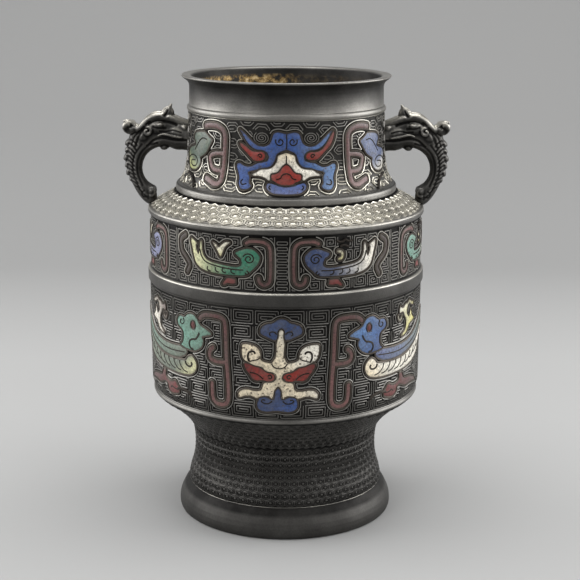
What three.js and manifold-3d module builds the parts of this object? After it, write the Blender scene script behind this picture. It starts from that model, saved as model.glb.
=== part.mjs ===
// Bronze vase with two beast-head handles and champleve enamel friezes.
// Millimetres, +Z up, the origin at the centre of the foot's lower face, the front towards -Y.
import * as THREE from 'three';
import { mergeVertices } from 'three/addons/utils/BufferGeometryUtils.js';
import Module from 'manifold-3d';

const wasm = await Module();
wasm.setup();

// Driving dimensions.
const VASE_HEIGHT = 300;
const SEAM_GAP = 0.3;
const ROUND_STEPS = 26;

const LIP_RADIUS = 69.6;
const COLLAR_RADIUS = 64.5;
const COLLAR_BOTTOM = 280.6;
const BEAD_RADIUS = 66.2;
const NECK_FIELD_TOP = 275.9;
const NECK_FIELD_BOTTOM = 229.2;
const FILLET_RADIUS = 74;
const NECK_SEAT = 223;
const SPIGOT_RADIUS = 66.2;
const SPIGOT_DEPTH = 6;

const BODY_RADIUS = 92.9;
const SHOULDER_EDGE = 212.8;
const UPPER_FIELD_TOP = 208.2;
const UPPER_FIELD_BOTTOM = 172.8;
const GIRDLE_RADIUS = 93.4;
const LOWER_FIELD_TOP = 162.2;
const LOWER_FIELD_BOTTOM = 89.4;
const FOOT_SEAT = 60;
const FOOT_SPIGOT_RADIUS = 60.2;

const FOOT_RADIUS = 73.9;
const FOOT_INNER_RADIUS = 66.8;
const PLATE_LEDGE = 16;
const PLATE_THICKNESS = 3;

const ENAMEL_LIFT = 1.5;
const SCROLL_LIFT = 0.7;
const BOSS_LIFT = 0.9;
const CELLS_ROUND_BODY = 7;
const HANDLE_WIDTH = 12;
const TENON_RADIUS = 2.6;
const TENON_HEIGHT = 258;
const PIN_RADIUS = 1.7;
const PIN_PLACE = 89.2;

// The three friezes aren't in exact register: the cast sections were joined a little turned.
const NECK_TURN = 0.1;
const UPPER_TURN = -1.4;
const LOWER_TURN = -2.3;

const COLOURS = {
  bronze: 0x35312d,
  cobalt: 0x2f4f9e,
  red: 0x8c2f26,
  white: 0xd8cbb0,
  green: 0x2f7d67,
  teal: 0x7fa595,
  mauve: 0x6b4440,
  yellow: 0xcdc67c,
};

const bronze = () => new THREE.MeshStandardMaterial({
  color: COLOURS.bronze, roughness: 0.5, metalness: 0.85,
});
const enamel = (name) => new THREE.MeshStandardMaterial({
  color: COLOURS[name], roughness: 0.35, metalness: 0,
});

const vase = new THREE.Group();

// A closed geometry without doubled corners or empty triangles.
function weld(geometry) {
  const bare = geometry.clone();
  bare.deleteAttribute('normal');
  bare.deleteAttribute('uv');
  const welded = mergeVertices(bare, 1e-4);
  const kept = [];
  const index = welded.index.array;
  for (let i = 0; i < index.length; i += 3) {
    const [a, b, c] = [index[i], index[i + 1], index[i + 2]];
    if (a !== b && b !== c && c !== a) kept.push(a, b, c);
  }
  welded.setIndex(kept);
  return welded;
}

function toSolid(geometry) {
  const welded = weld(geometry);
  return new wasm.Manifold(new wasm.Mesh({
    numProp: 3,
    vertProperties: new Float32Array(welded.attributes.position.array),
    triVerts: new Uint32Array(welded.index.array),
  }));
}

function toGeometry(solid) {
  const mesh = solid.getMesh();
  const geometry = new THREE.BufferGeometry();
  geometry.setAttribute('position', new THREE.BufferAttribute(mesh.vertProperties, 3));
  geometry.setIndex(new THREE.BufferAttribute(mesh.triVerts, 1));
  return geometry;
}

function addPiece(name, solid, material) {
  const mesh = new THREE.Mesh(toGeometry(solid), material);
  mesh.name = name;
  vase.add(mesh);
}

// A ring turned about +Z from a closed outline of [radius, height], outer side first, going up.
function turned(outline) {
  const points = [...outline, outline[0]].map(([r, z]) => new THREE.Vector2(r, z));
  return toSolid(new THREE.LatheGeometry(points, ROUND_STEPS).rotateX(Math.PI / 2));
}

// A round bar between two places on the X-Z plane.
function bar(from, to, radius, steps = 8) {
  const start = new THREE.Vector3(from[0], 0, from[1]);
  const along = new THREE.Vector3(to[0], 0, to[1]).sub(start);
  const geometry = new THREE.CylinderGeometry(radius, radius, along.length(), steps);
  const turn = new THREE.Quaternion();
  turn.setFromUnitVectors(new THREE.Vector3(0, 1, 0), along.clone().normalize());
  geometry.applyQuaternion(turn);
  geometry.translate(...start.addScaledVector(along, 0.5).toArray());
  return toSolid(geometry);
}

// Castings: neck, body and foot, each turned from its closed outline.

// Fields that carry the enamels: the bronze ground a little below the plain bands.
const neckField = [
  [71.4, NECK_FIELD_BOTTOM], [69, 232.4], [67.2, 237], [65.6, 247], [64.8, NECK_FIELD_TOP],
];
const upperField = [[90.8, UPPER_FIELD_BOTTOM], [90.5, UPPER_FIELD_TOP]];
const lowerField = [
  [89.6, LOWER_FIELD_BOTTOM], [91.1, 95], [91.5, LOWER_FIELD_TOP],
];

// Half-round bead under the collar.
const bead = [-90, -45, 0, 45, 90].map((degrees) => {
  const turn = THREE.MathUtils.degToRad(degrees);
  return [64.7 + (BEAD_RADIUS - 64.7) * Math.cos(turn), 278.3 + 2.1 * Math.sin(turn)];
});

// Everted lip: a hollow flare from the collar to a thin edge, and a flat, slightly dished top.
const LIP_BOTTOM = 291;
const lip = [
  [COLLAR_RADIUS, LIP_BOTTOM], [COLLAR_RADIUS + 1, LIP_BOTTOM + 2.4],
  [LIP_RADIUS - 1.3, VASE_HEIGHT - 2.4], [LIP_RADIUS, VASE_HEIGHT - 0.8],
  [LIP_RADIUS - 0.4, VASE_HEIGHT],
];

const neckInside = [
  [64.2, VASE_HEIGHT - 0.4], [61.6, 296.5], [61.5, 262], [62.6, 243], [63.4, 230],
  [63.4, NECK_SEAT - SPIGOT_DEPTH],
];

const neckOutline = [
  [SPIGOT_RADIUS, NECK_SEAT - SPIGOT_DEPTH],
  [SPIGOT_RADIUS, NECK_SEAT + SEAM_GAP],
  [FILLET_RADIUS - 0.8, NECK_SEAT + SEAM_GAP],
  [FILLET_RADIUS, NECK_SEAT + 1.5],
  [FILLET_RADIUS, NECK_SEAT + 4.4],
  [FILLET_RADIUS - 1.2, NECK_SEAT + 5.8],
  ...neckField,
  ...bead,
  [COLLAR_RADIUS, COLLAR_BOTTOM],
  ...lip,
  ...neckInside,
];

// Underside of the body: it runs down and in from the rim, and sweeps into the line of the foot.
const bodyUnderside = [
  [63.8, FOOT_SEAT], [65.6, 63.6], [68.6, 67.8], [73, 72.6], [81, 79.6], [87, 83.6], [89.2, 85.2],
];

const shoulderOuter = [
  [92.4, UPPER_FIELD_TOP + 0.5],
  [BODY_RADIUS, SHOULDER_EDGE - 3.2],
  [BODY_RADIUS, SHOULDER_EDGE - 0.6],
  [BODY_RADIUS - 0.7, SHOULDER_EDGE + 0.4],
  [90.6, SHOULDER_EDGE + 0.6],
  [74.9, NECK_SEAT - 0.8],
  [74.4, NECK_SEAT],
  [SPIGOT_RADIUS + 0.4, NECK_SEAT],
];

const bodyInside = [
  [SPIGOT_RADIUS + 0.4, NECK_SEAT - 4.6], [85.8, 210.6], [87.4, 207.6],
  [87.6, 172], [88.2, 130], [87.2, 94], [84.4, 87.6], [76, 81], [68.4, 74.4], [64.6, 69.8],
  [FOOT_SPIGOT_RADIUS + 0.4, 67],
];

const bodyOutline = [
  [FOOT_SPIGOT_RADIUS + 0.4, FOOT_SEAT],
  ...bodyUnderside,
  [90.5, 86], [90.9, 87.2], [90.4, 88.6],
  ...lowerField,
  [GIRDLE_RADIUS - 0.5, LOWER_FIELD_TOP + 0.7],
  [GIRDLE_RADIUS, LOWER_FIELD_TOP + 1.8],
  [GIRDLE_RADIUS, UPPER_FIELD_BOTTOM - 1.8],
  [GIRDLE_RADIUS - 0.5, UPPER_FIELD_BOTTOM - 0.7],
  ...upperField,
  ...shoulderOuter,
  ...bodyInside,
];

const footWaist = [
  [66.7, 19.7], [66, 25], [63.6, 33.6], [62.4, 41], [62.4, 51], [63.7, FOOT_SEAT - SEAM_GAP],
];
const footOutline = [
  [66.4, 0], [71.6, 0], [73.2, 1], [FOOT_RADIUS, 4], [FOOT_RADIUS - 0.5, 10], [71.6, 15.6],
  [68.4, 19.2],
  ...footWaist,
  [FOOT_SPIGOT_RADIUS, FOOT_SEAT - SEAM_GAP], [FOOT_SPIGOT_RADIUS, 67.4],
  [57.2, 67.4], [57.4, 44], [60.4, 28], [62, PLATE_LEDGE], [FOOT_INNER_RADIUS, PLATE_LEDGE],
];

// Outside of the whole vessel, grown by the seam gap: it shapes the handles' feet.
const vesselOutline = [
  [0, 200], [BODY_RADIUS + SEAM_GAP, 200],
  [BODY_RADIUS + SEAM_GAP, SHOULDER_EDGE - 0.6],
  [92.4, SHOULDER_EDGE + 0.8], [90.8, SHOULDER_EDGE + 1], [75.1, NECK_SEAT - 0.4],
  [74.3, NECK_SEAT + 1.5], [74.3, NECK_SEAT + 4.4],
  ...neckField.map(([r, z]) => [r + SEAM_GAP, z]),
  [66.6, 276.6], [66.6, 280], [64.8, 280.9], [64.8, 290], [0, 290],
];

// Handles: a beast's head that bites the neck, and a loop that stands on the shoulder.

// Side outline of the left-out half: [distance from the axis, height], from the neck outwards.
const headTop = [
  [60, 269], [66, 269.5], [71.5, 271], [75, 273.4], [76.2, 277.6], [77.6, 279.8],
  [80.8, 278], [82.6, 274.4], [86, 274.2], [90, 272.4], [94, 268.6], [97.4, 265],
];
const headCurl = [[99.6, 265], [101, 268.4], [104.6, 269.8], [108, 268], [109.2, 264.4], [107.6, 260.6]];
const BACK_SCALLOPS = 6;
const innerEdge = [
  [86, 210], [87.4, 222], [89.2, 225.4], [92.6, 227.2], [95.4, 231], [96.8, 236], [96, 241.4],
  [93.4, 246], [89.4, 249.6], [84, 251.4], [78.6, 251], [74.4, 249], [69, 249], [60, 247.6],
];

// The serrated back: scallops set along an arc that leans in to the shoulder.
function scallopedBack() {
  const spine = new THREE.QuadraticBezierCurve(
    new THREE.Vector2(105.4, 257), new THREE.Vector2(114.2, 237), new THREE.Vector2(96, 213),
  );
  const points = [];
  for (let i = 0; i < BACK_SCALLOPS; i++) {
    const hollow = spine.getPoint(i / BACK_SCALLOPS);
    const crest = spine.getPoint((i + 0.65) / BACK_SCALLOPS);
    const out = spine.getTangent((i + 0.65) / BACK_SCALLOPS);
    points.push([hollow.x, hollow.y]);
    points.push([crest.x - out.y * 1.9, crest.y + out.x * 1.9]);
  }
  points.push([95, 210]);
  return points;
}

function sideShape(points) {
  return new THREE.Shape(points.map(([x, z]) => new THREE.Vector2(x, z)));
}

// A plate of the given side outline, centred on the X-Z plane, with rounded long edges.
function plate(points, width, round) {
  const geometry = new THREE.ExtrudeGeometry(sideShape(points), {
    depth: width - 2 * round, bevelEnabled: true, bevelThickness: round, bevelSize: round * 0.7,
    bevelOffset: -round * 0.7, bevelSegments: 1,
  });
  geometry.translate(0, 0, -(width - 2 * round) / 2);
  return toSolid(geometry.rotateX(Math.PI / 2));
}

function ball(centre, radii) {
  const geometry = new THREE.SphereGeometry(1, 7, 4);
  geometry.scale(...radii);
  geometry.translate(...centre);
  return toSolid(geometry);
}

// One horn: a leaning cone beside the brow.
function horn(side) {
  const geometry = new THREE.ConeGeometry(2.6, 12, 6);
  geometry.rotateX(-side * 0.35);
  geometry.translate(78.6, side * 4.6, 275.4);
  return toSolid(geometry);
}

function handleSolid() {
  const loop = [...headTop, ...headCurl, ...scallopedBack(), ...innerEdge];
  let solid = plate(loop, HANDLE_WIDTH, 2.4);
  // Skull, snout and jaw are wider than the loop.
  solid = solid.add(ball([86, 0, 264.6], [11, 8.6, 8.2]));
  solid = solid.add(ball([72.5, 0, 262.6], [11.5, 7.6, 6.6]));
  solid = solid.add(ball([74, 0, 254], [9, 6.8, 4.6]));
  for (const side of [-1, 1]) {
    solid = solid.add(horn(side));
    solid = solid.add(ball([83, side * 6.8, 269], [3.2, 2.6, 2.8]));
    // Mane curl behind the jaw.
    solid = solid.add(ball([96.5, side * 5.2, 258], [6, 3.4, 5.4]));
  }
  // Rolled tip of the mane.
  const roll = new THREE.CylinderGeometry(4.6, 4.6, HANDLE_WIDTH + 2, 10);
  roll.translate(104.6, 0, 265);
  solid = solid.add(toSolid(roll));
  // Curled toe at the inner side of the lower end.
  const toe = new THREE.CylinderGeometry(2.9, 2.9, HANDLE_WIDTH - 0.6, 8);
  toe.translate(90.6, 0, 223.4);
  solid = solid.add(toSolid(toe));
  solid = solid.subtract(turned(vesselOutline));
  // A tenon through the neck, headed over inside, and a pin in the shoulder.
  solid = solid.add(bar([60.4, TENON_HEIGHT], [70, TENON_HEIGHT], TENON_RADIUS));
  solid = solid.add(bar([58.6, TENON_HEIGHT], [61, TENON_HEIGHT], TENON_RADIUS + 1.8));
  solid = solid.add(bar([PIN_PLACE, SHOULDER_EDGE - 2], [PIN_PLACE, 220], PIN_RADIUS));
  return solid;
}

const tenonHoles = [-1, 1].map((side) => (
  bar([side * 55, TENON_HEIGHT], [side * 80, TENON_HEIGHT], TENON_RADIUS + 0.4)
));
const pinHoles = [-1, 1].map((side) => (
  bar([side * PIN_PLACE, SHOULDER_EDGE - 2.4], [side * PIN_PLACE, 230], PIN_RADIUS + 0.35)
));

// Friezes. Flat outlines, [distance round the surface, height], are bent round the vessel and
// cut by a thin shell: one that clears the bronze for an enamel, one that enters it for relief.
function shellOver(field, from, to) {
  const outer = field.map(([r, z]) => [r + to, z]);
  const inner = field.map(([r, z]) => [r + from, z]).reverse();
  return turned([...outer, ...inner]);
}

function friezeOn(field, radius, turn) {
  return {
    radius,
    turn,
    glass: shellOver(field, SEAM_GAP, SEAM_GAP + ENAMEL_LIFT),
    relief: shellOver(field, -0.6, ENAMEL_LIFT),
    scroll: shellOver(field, -0.6, SCROLL_LIFT),
  };
}

const friezes = {
  // On the hollow curve of the neck the shell needs only the ends and the sharpest bend,
  // because a chord there runs outside the bronze.
  neck: friezeOn([0, 2, 4].map((i) => neckField[i]), 66.8, NECK_TURN),
  upper: friezeOn(upperField, 92, UPPER_TURN),
  lower: friezeOn(lowerField, 93, LOWER_TURN),
};

// `mirrored` swaps left and right, `place` turns the outline round the vase by degrees.
function bent(outline, { radius, turn }, { place = 0, mirrored = false } = {}) {
  const geometry = new THREE.ExtrudeGeometry(outline, {
    depth: 0.6, bevelEnabled: false,
  });
  const side = mirrored ? -1 : 1;
  const position = geometry.attributes.position;
  for (let i = 0; i < position.count; i++) {
    const angle = side * position.getX(i) / radius + THREE.MathUtils.degToRad(place + turn);
    const reach = radius * (0.75 + position.getZ(i));
    position.setXYZ(i, reach * Math.sin(angle), -reach * Math.cos(angle), position.getY(i));
  }
  if (!mirrored) return toSolid(geometry);
  // Mirroring turns the triangles inside out, so each is put back.
  const bare = weld(geometry);
  const index = bare.index.array.slice();
  for (let i = 0; i < index.length; i += 3) [index[i], index[i + 1]] = [index[i + 1], index[i]];
  bare.setIndex([...index]);
  return toSolid(bare);
}

function inlay(name, colour, frieze, outline, spot) {
  const wedge = bent(outline, friezes[frieze], spot);
  addPiece(name, wedge.intersect(friezes[frieze].glass), enamel(colour));
}

// The right half of a symmetric outline, closed by its mirror image.
function symmetric(half, make = sideShape) {
  const other = half.filter(([x]) => x > 0).map(([x, z]) => [-x, z]).reverse();
  return make([...half, ...other]);
}

// Hooked frame beside a creature: an upright with a top arm, a bottom hook and, on the
// deep friezes, a middle hook. All arms point away from the frieze's centre line.
function hookedFrame({ left, bottom, top, width, topArm, footArm, footRise, hook }) {
  const inner = left + width;
  const points = [
    [left, bottom + width], [left, top - 2 * width], [left + 2 * width, top],
    [left + topArm - width / 2, top], [left + topArm, top - width / 2],
    [left + topArm - width / 2, top - width], [inner + width, top - width],
    [inner, top - 2 * width],
  ];
  if (hook) {
    const { level, reach, rise } = hook;
    points.push(
      [inner, level + width], [left + reach - width, level + width],
      [left + reach - width, level + rise], [left + reach, level + rise],
      [left + reach, level + width / 2], [left + reach - width / 2, level], [inner, level],
    );
  }
  points.push(
    [inner, bottom + 1.5 * width], [inner + width / 2, bottom + width],
    [left + footArm - width, bottom + width], [left + footArm - width, bottom + footRise],
    [left + footArm, bottom + footRise], [left + footArm, bottom + width / 2],
    [left + footArm - width, bottom], [left + width, bottom],
  );
  return sideShape(points);
}

// Crested birds of the upper frieze: one in each cell, all looking towards the front.
const cellArc = 2 * Math.PI * friezes.upper.radius / CELLS_ROUND_BODY;
const upperBird = sideShape([
  [12.4, 192.6], [16, 198.6], [22, 201.2], [28.2, 197.4], [25.8, 192], [28.6, 188.4],
  [46.5, 190.2], [52.4, 194.2], [54.4, 200.6], [57, 197.4], [62.6, 203.4],
  [62, 195.4], [58.6, 187.2], [50, 182.6], [31.5, 181.2], [20, 182.4], [15.4, 187],
]);
const upperFrame = hookedFrame({
  left: 4.6, bottom: 177, top: 207.2, width: 3.2, topArm: 17, footArm: 8.6, footRise: 6,
});

// Bronze relief of the upper frieze: rungs of looped scrolls between the cells, and the whole
// bird in the rear cell.
const cellTurn = 360 / CELLS_ROUND_BODY;
const UPPER_FIELD_MIDDLE = (UPPER_FIELD_BOTTOM + UPPER_FIELD_TOP) / 2;
const RUNG_WIDTH = 8.8;
const RUNG_HEIGHT = 6.4;
const RUNG_PITCH = 11;
const RUNGS = 3;

function rectangle(x, z, width, height) {
  return sideShape([
    [x - width / 2, z - height / 2], [x + width / 2, z - height / 2],
    [x + width / 2, z + height / 2], [x - width / 2, z + height / 2],
  ]);
}

function upperRelief() {
  const parts = [];
  for (let cell = 0; cell < CELLS_ROUND_BODY; cell++) {
    const place = cell * cellTurn;
    for (let rung = 0; rung < RUNGS; rung++) {
      const z = UPPER_FIELD_MIDDLE + (rung - (RUNGS - 1) / 2) * RUNG_PITCH;
      const shape = rectangle(0, z, RUNG_WIDTH, RUNG_HEIGHT);
      parts.push(bent(shape, friezes.upper, { place }).intersect(friezes.upper.scroll));
    }
  }
  for (const shape of [upperBird, upperFrame]) {
    parts.push(bent(shape, friezes.upper, { place: 3 * cellTurn }).intersect(friezes.upper.relief));
  }
  return parts;
}

// Bronze relief of the lower frieze: leaves under each bird, and the largest thunder scrolls,
// beside the cap of the flower ornament, as raised square rings.
const SCROLL_WIDTH = 9;
const SCROLL_HEIGHT = 9.6;
const SCROLL_BAR = 1.6;
const leafBranch = sideShape([
  [59, 97], [70.5, 101.6], [73.4, 106.6], [80.5, 103], [88, 108.4], [96, 103.6], [111.5, 106],
  [109.5, 98], [101, 97], [90, 99], [81, 96.5], [69.5, 95.6],
]);

function scrollRing(x, z) {
  const ring = rectangle(x, z, SCROLL_WIDTH, SCROLL_HEIGHT);
  const hole = rectangle(x, z, SCROLL_WIDTH - 2 * SCROLL_BAR, SCROLL_HEIGHT - 2 * SCROLL_BAR);
  ring.holes.push(hole);
  return ring;
}

function lowerRelief() {
  const parts = [];
  for (const place of [0, 180]) {
    for (const mirrored of [false, true]) {
      const spot = { place, mirrored };
      parts.push(bent(leafBranch, friezes.lower, spot).intersect(friezes.lower.relief));
      parts.push(bent(scrollRing(20.6, 150.4), friezes.lower, spot).intersect(friezes.lower.scroll));
    }
  }
  return parts;
}

// Bosses of a diaper: four-sided and low, in staggered rows on a sloping ground. The casting
// has them closer and in six-sided rings; these are the ones that its outline shows.
const BOSS_ROOT = 1;

function bosses(ground, shares, count, width, height) {
  const parts = [];
  shares.forEach((share, row) => {
    const { point: [r, z], normal: [out, up] } = placeOn(ground, share);
    for (let i = 0; i < count; i++) {
      const turn = (i + (row % 2) / 2) * 2 * Math.PI / count;
      const boss = new THREE.ConeGeometry(1, BOSS_LIFT + BOSS_ROOT, 4);
      boss.translate(0, (BOSS_LIFT - BOSS_ROOT) / 2, 0);
      boss.scale(width / 2, 1, height / 2);
      boss.rotateX(Math.PI / 2);
      const basis = new THREE.Matrix4().makeBasis(
        new THREE.Vector3(Math.cos(turn), Math.sin(turn), 0),
        new THREE.Vector3(-up * Math.sin(turn), up * Math.cos(turn), out),
        new THREE.Vector3(out * Math.sin(turn), -out * Math.cos(turn), up),
      );
      boss.applyMatrix4(basis);
      boss.translate(r * Math.sin(turn), -r * Math.cos(turn), z);
      const besideHandle = Math.abs(Math.cos(turn)) * r < HANDLE_WIDTH;
      if (!besideHandle || r < FOOT_RADIUS) parts.push(toSolid(boss));
    }
  });
  return parts;
}

// A place along an outline by its share of the length, with the outline's outward normal.
function placeOn(outline, share) {
  const points = outline.map(([r, z]) => new THREE.Vector2(r, z));
  const path = new THREE.SplineCurve(points);
  const point = path.getPointAt(share);
  const along = path.getTangentAt(share);
  return { point: [point.x, point.y], normal: [along.y, -along.x] };
}

// The castings, with their holes and their relief.
let neckSolid = turned(neckOutline);
for (const hole of tenonHoles) neckSolid = neckSolid.subtract(hole);
addPiece('neck_casting', neckSolid, bronze());

const shoulderSlope = [[90.6, SHOULDER_EDGE + 0.6], [74.9, NECK_SEAT - 0.8]];
let bodySolid = wasm.Manifold.union([
  turned(bodyOutline), ...upperRelief(), ...lowerRelief(),
  ...bosses(shoulderSlope, [0.2, 0.5, 0.8], 16, 10, 7),
]);
for (const hole of pinHoles) bodySolid = bodySolid.subtract(hole);
addPiece('body_casting', bodySolid, bronze());

const footSolid = wasm.Manifold.union([
  turned(footOutline), ...bosses(footWaist, [0.3, 0.7], 20, 9, 8),
]);
addPiece('foot_casting', footSolid, bronze());

const plateDisc = new THREE.CylinderGeometry(
  FOOT_INNER_RADIUS - 0.4, FOOT_INNER_RADIUS - 0.4, PLATE_THICKNESS, ROUND_STEPS,
);
plateDisc.rotateX(Math.PI / 2);
plateDisc.translate(0, 0, PLATE_LEDGE - SEAM_GAP - PLATE_THICKNESS / 2);
addPiece('base_plate', toSolid(plateDisc), bronze());

const rightHandle = handleSolid();
addPiece('handle_right', rightHandle, bronze());
addPiece('handle_left', rightHandle.mirror([1, 0, 0]), bronze());

// Enamels, one node for each.

// Beast mask on the neck, front and back.
const maskBrow = symmetric([
  [0, 265], [4, 269.4], [8, 269], [9.6, 263.4], [14, 260.6], [21, 262.8], [30.5, 270],
  [25, 262], [20.4, 258.4], [12, 256.4], [12.8, 251], [20, 247.8], [29, 249], [33, 246.4],
  [30.4, 238.6], [32, 235], [28, 232.4], [24, 234.4], [26, 240.4], [23, 243.6], [13.4, 246.6],
  [8.2, 251], [6, 255.2], [0, 258],
]);
const maskHorn = sideShape([
  [31.5, 268.4], [31.2, 263], [25.6, 257], [16.6, 251.7], [13.2, 253.4], [14, 256.4],
  [20.4, 257.6], [27, 262.6],
]);
const maskFangs = symmetric([
  [0, 257], [5.4, 254.6], [6.6, 250.6], [10.6, 246.6], [16, 245.2], [23.5, 242.4], [18, 240.4],
  [10, 238.6], [9.3, 242.6], [5.4, 244.4], [0, 251],
]);
const maskNose = symmetric([
  [0, 248.6], [2.8, 245.8], [4.4, 243.2], [8.5, 242], [8.4, 239.2], [5, 236.9], [0, 235.9],
]);
const maskChin = symmetric([
  [0, 234.9], [6.8, 235.5], [9.6, 237.6], [12.2, 235.8], [11.2, 232.4], [7, 230.3], [0, 229.8],
]);
for (const [side, place] of [['front', 0], ['back', 180]]) {
  inlay(`mask_brow_${side}`, 'cobalt', 'neck', maskBrow, { place });
  inlay(`mask_horn_right_${side}`, 'red', 'neck', maskHorn, { place });
  inlay(`mask_horn_left_${side}`, 'red', 'neck', maskHorn, { place, mirrored: true });
  inlay(`mask_fangs_${side}`, 'white', 'neck', maskFangs, { place });
  inlay(`mask_nose_${side}`, 'red', 'neck', maskNose, { place });
  inlay(`mask_chin_${side}`, 'cobalt', 'neck', maskChin, { place });
}

// Leaf-shaped creatures between the mask and the handles, each with its frame.
const neckCreature = sideShape([
  [53.5, 261.4], [60.5, 265.8], [70, 265.4], [77.4, 259], [81.6, 250], [82, 241], [77, 237.6],
  [72, 241.6], [68.6, 249], [61, 254],
]);
const neckFrame = hookedFrame({
  left: 41.5, bottom: 231.4, top: 271, width: 4, topArm: 22, footArm: 16, footRise: 8,
  hook: { level: 245.4, reach: 12, rise: 8 },
});

// Large birds of the lower frieze, with a flame above the back.
const lowerBird = sideShape([
  [44.6, 143.4], [52.4, 148.6], [56.4, 153.8], [61.4, 154.4], [70, 150], [72.6, 145.6],
  [69.4, 141.6], [69, 135], [74, 130.8], [92, 130.8], [108, 136], [134, 151], [134, 134],
  [122, 121], [100, 112.4], [74, 108.8], [60.6, 111.4], [55, 118], [58.6, 128.4],
  [51.4, 130.8],
]);
const lowerFrame = hookedFrame({
  left: 31, bottom: 95, top: 158.4, width: 5.4, topArm: 22, footArm: 16.6, footRise: 15,
  hook: { level: 122.6, reach: 15, rise: 11 },
});
const flame = sideShape([
  [89, 134], [85, 138.6], [92, 141], [84.6, 146.4], [90.4, 157.6], [95, 153.4], [104, 161],
  [103.4, 153], [109.6, 149], [104, 141.4],
]);

for (const [side, place, flip] of [['front', 0, 1], ['back', 180, -1]]) {
  for (const [hand, mirrored] of [['right', false], ['left', true]]) {
    // Seen from outside, the back's own right is on the left handle's side.
    const name = flip === 1 ? hand : { right: 'left', left: 'right' }[hand];
    const right = name === 'right';
    inlay(`neck_creature_${side}_${name}`, right ? 'cobalt' : 'teal', 'neck', neckCreature, {
      place, mirrored,
    });
    inlay(`neck_frame_${side}_${name}`, 'mauve', 'neck', neckFrame, { place, mirrored });
    inlay(`bird_${side}_${name}`, right ? 'cobalt' : 'teal', 'lower', lowerBird, {
      place, mirrored,
    });
    inlay(`bird_frame_${side}_${name}`, 'mauve', 'lower', lowerFrame, { place, mirrored });
    inlay(`flame_${side}_${name}`, 'yellow', 'lower', flame, { place, mirrored });
  }
}

for (let cell = 0; cell < (CELLS_ROUND_BODY - 1) / 2; cell++) {
  for (const [hand, mirrored] of [['right', false], ['left', true]]) {
    const place = (mirrored ? -1 : 1) * cell * cellTurn;
    const colour = (cell % 2 === 0) === mirrored ? 'green' : 'cobalt';
    inlay(`crested_bird_${hand}_${cell + 1}`, colour, 'upper', upperBird, { place, mirrored });
    inlay(`crested_frame_${hand}_${cell + 1}`, 'mauve', 'upper', upperFrame, { place, mirrored });
  }
}

// Flower ornament at the centre of the lower frieze, front and back.
const flowerCap = symmetric([
  [0, 158], [3.6, 156.6], [6.4, 152.6], [13, 148], [10, 143.8], [5, 142.6], [2, 150], [0, 151.6],
]);
const flowerFigure = symmetric([
  [0, 150.6], [1.4, 148.4], [3.2, 133.4], [6, 128.8], [11.6, 129.2], [12.4, 135.4],
  [16, 139.4], [24.6, 139.6], [24.2, 133], [19.4, 128.2], [13.4, 127], [3.8, 122.8],
  [1.9, 120], [3.4, 116.4], [10.4, 114], [13.8, 111.2], [20, 111.4], [26, 110.6], [27, 106.4],
  [18, 108], [9, 107.7], [0, 113.6],
]);
const flowerWing = sideShape([
  [22.4, 126.6], [15, 124.8], [8.4, 121.6], [3.6, 121], [3.2, 118.2], [8.4, 117.4],
  [12.4, 116.2], [18, 118.4],
]);
const flowerBase = symmetric([
  [0, 112.4], [3.2, 109.6], [4, 105.6], [9.6, 106.2], [13.6, 102.4], [9.6, 97.2], [0, 96],
]);
for (const [side, place] of [['front', 0], ['back', 180]]) {
  inlay(`flower_cap_${side}`, 'cobalt', 'lower', flowerCap, { place });
  inlay(`flower_figure_${side}`, 'white', 'lower', flowerFigure, { place });
  inlay(`flower_wing_right_${side}`, 'red', 'lower', flowerWing, { place });
  inlay(`flower_wing_left_${side}`, 'red', 'lower', flowerWing, { place, mirrored: true });
  inlay(`flower_base_${side}`, 'cobalt', 'lower', flowerBase, { place });
}

export default vase;
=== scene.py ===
import math
import random

import bpy
import bmesh
import numpy as np
from mathutils import Matrix, Vector
from mathutils.geometry import delaunay_2d_cdt

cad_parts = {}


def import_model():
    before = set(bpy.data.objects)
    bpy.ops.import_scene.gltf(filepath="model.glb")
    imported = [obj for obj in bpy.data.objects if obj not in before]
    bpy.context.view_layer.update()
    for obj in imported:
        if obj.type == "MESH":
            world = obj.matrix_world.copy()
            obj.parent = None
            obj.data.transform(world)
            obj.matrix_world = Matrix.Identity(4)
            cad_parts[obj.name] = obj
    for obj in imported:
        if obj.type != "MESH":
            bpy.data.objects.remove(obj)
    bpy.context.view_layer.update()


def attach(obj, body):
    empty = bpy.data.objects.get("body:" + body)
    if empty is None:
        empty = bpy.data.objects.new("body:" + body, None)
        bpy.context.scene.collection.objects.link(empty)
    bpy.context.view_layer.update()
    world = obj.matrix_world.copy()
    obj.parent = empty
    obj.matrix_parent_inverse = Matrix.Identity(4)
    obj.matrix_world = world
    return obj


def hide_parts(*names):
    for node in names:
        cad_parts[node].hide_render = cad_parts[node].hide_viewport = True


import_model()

MM = 0.001

# Neck section. Bronze, cast in one piece from the everted lip down to the fillet that stands
# on the shoulder, with a spigot inside the body. The lip, the collar and the bead were turned
# and brushed, and the field below them is the ground of the first frieze.
LIP = [(64.0, 299.7), (69.2, 300.0), (69.6, 299.6), (69.5, 298.9)]
CAVETTO = [(68.5, 298.0), (67.0, 296.9), (65.7, 295.8), (64.9, 294.4), (64.5, 292.4)]
NECK_FIELD = [(71.4, 229.2), (69.0, 232.4), (67.2, 237.0), (65.6, 247.0), (64.8, 275.9)]
NECK_FILLET = [(73.2, 223.3), (74.0, 224.2), (74.0, 227.4), (72.9, 228.8)]
NECK_BORE = [
    (66.2, 217.0), (63.4, 217.0), (63.4, 230.0), (62.6, 243.0), (61.5, 262.0), (62.2, 298.2),
]
BEAD_RADIUS, BEAD_SWELL = 64.7, 1.5
BEAD_MIDDLE, BEAD_HALF_HEIGHT, BEAD_STEPS = 278.3, 2.1, 12
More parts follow.
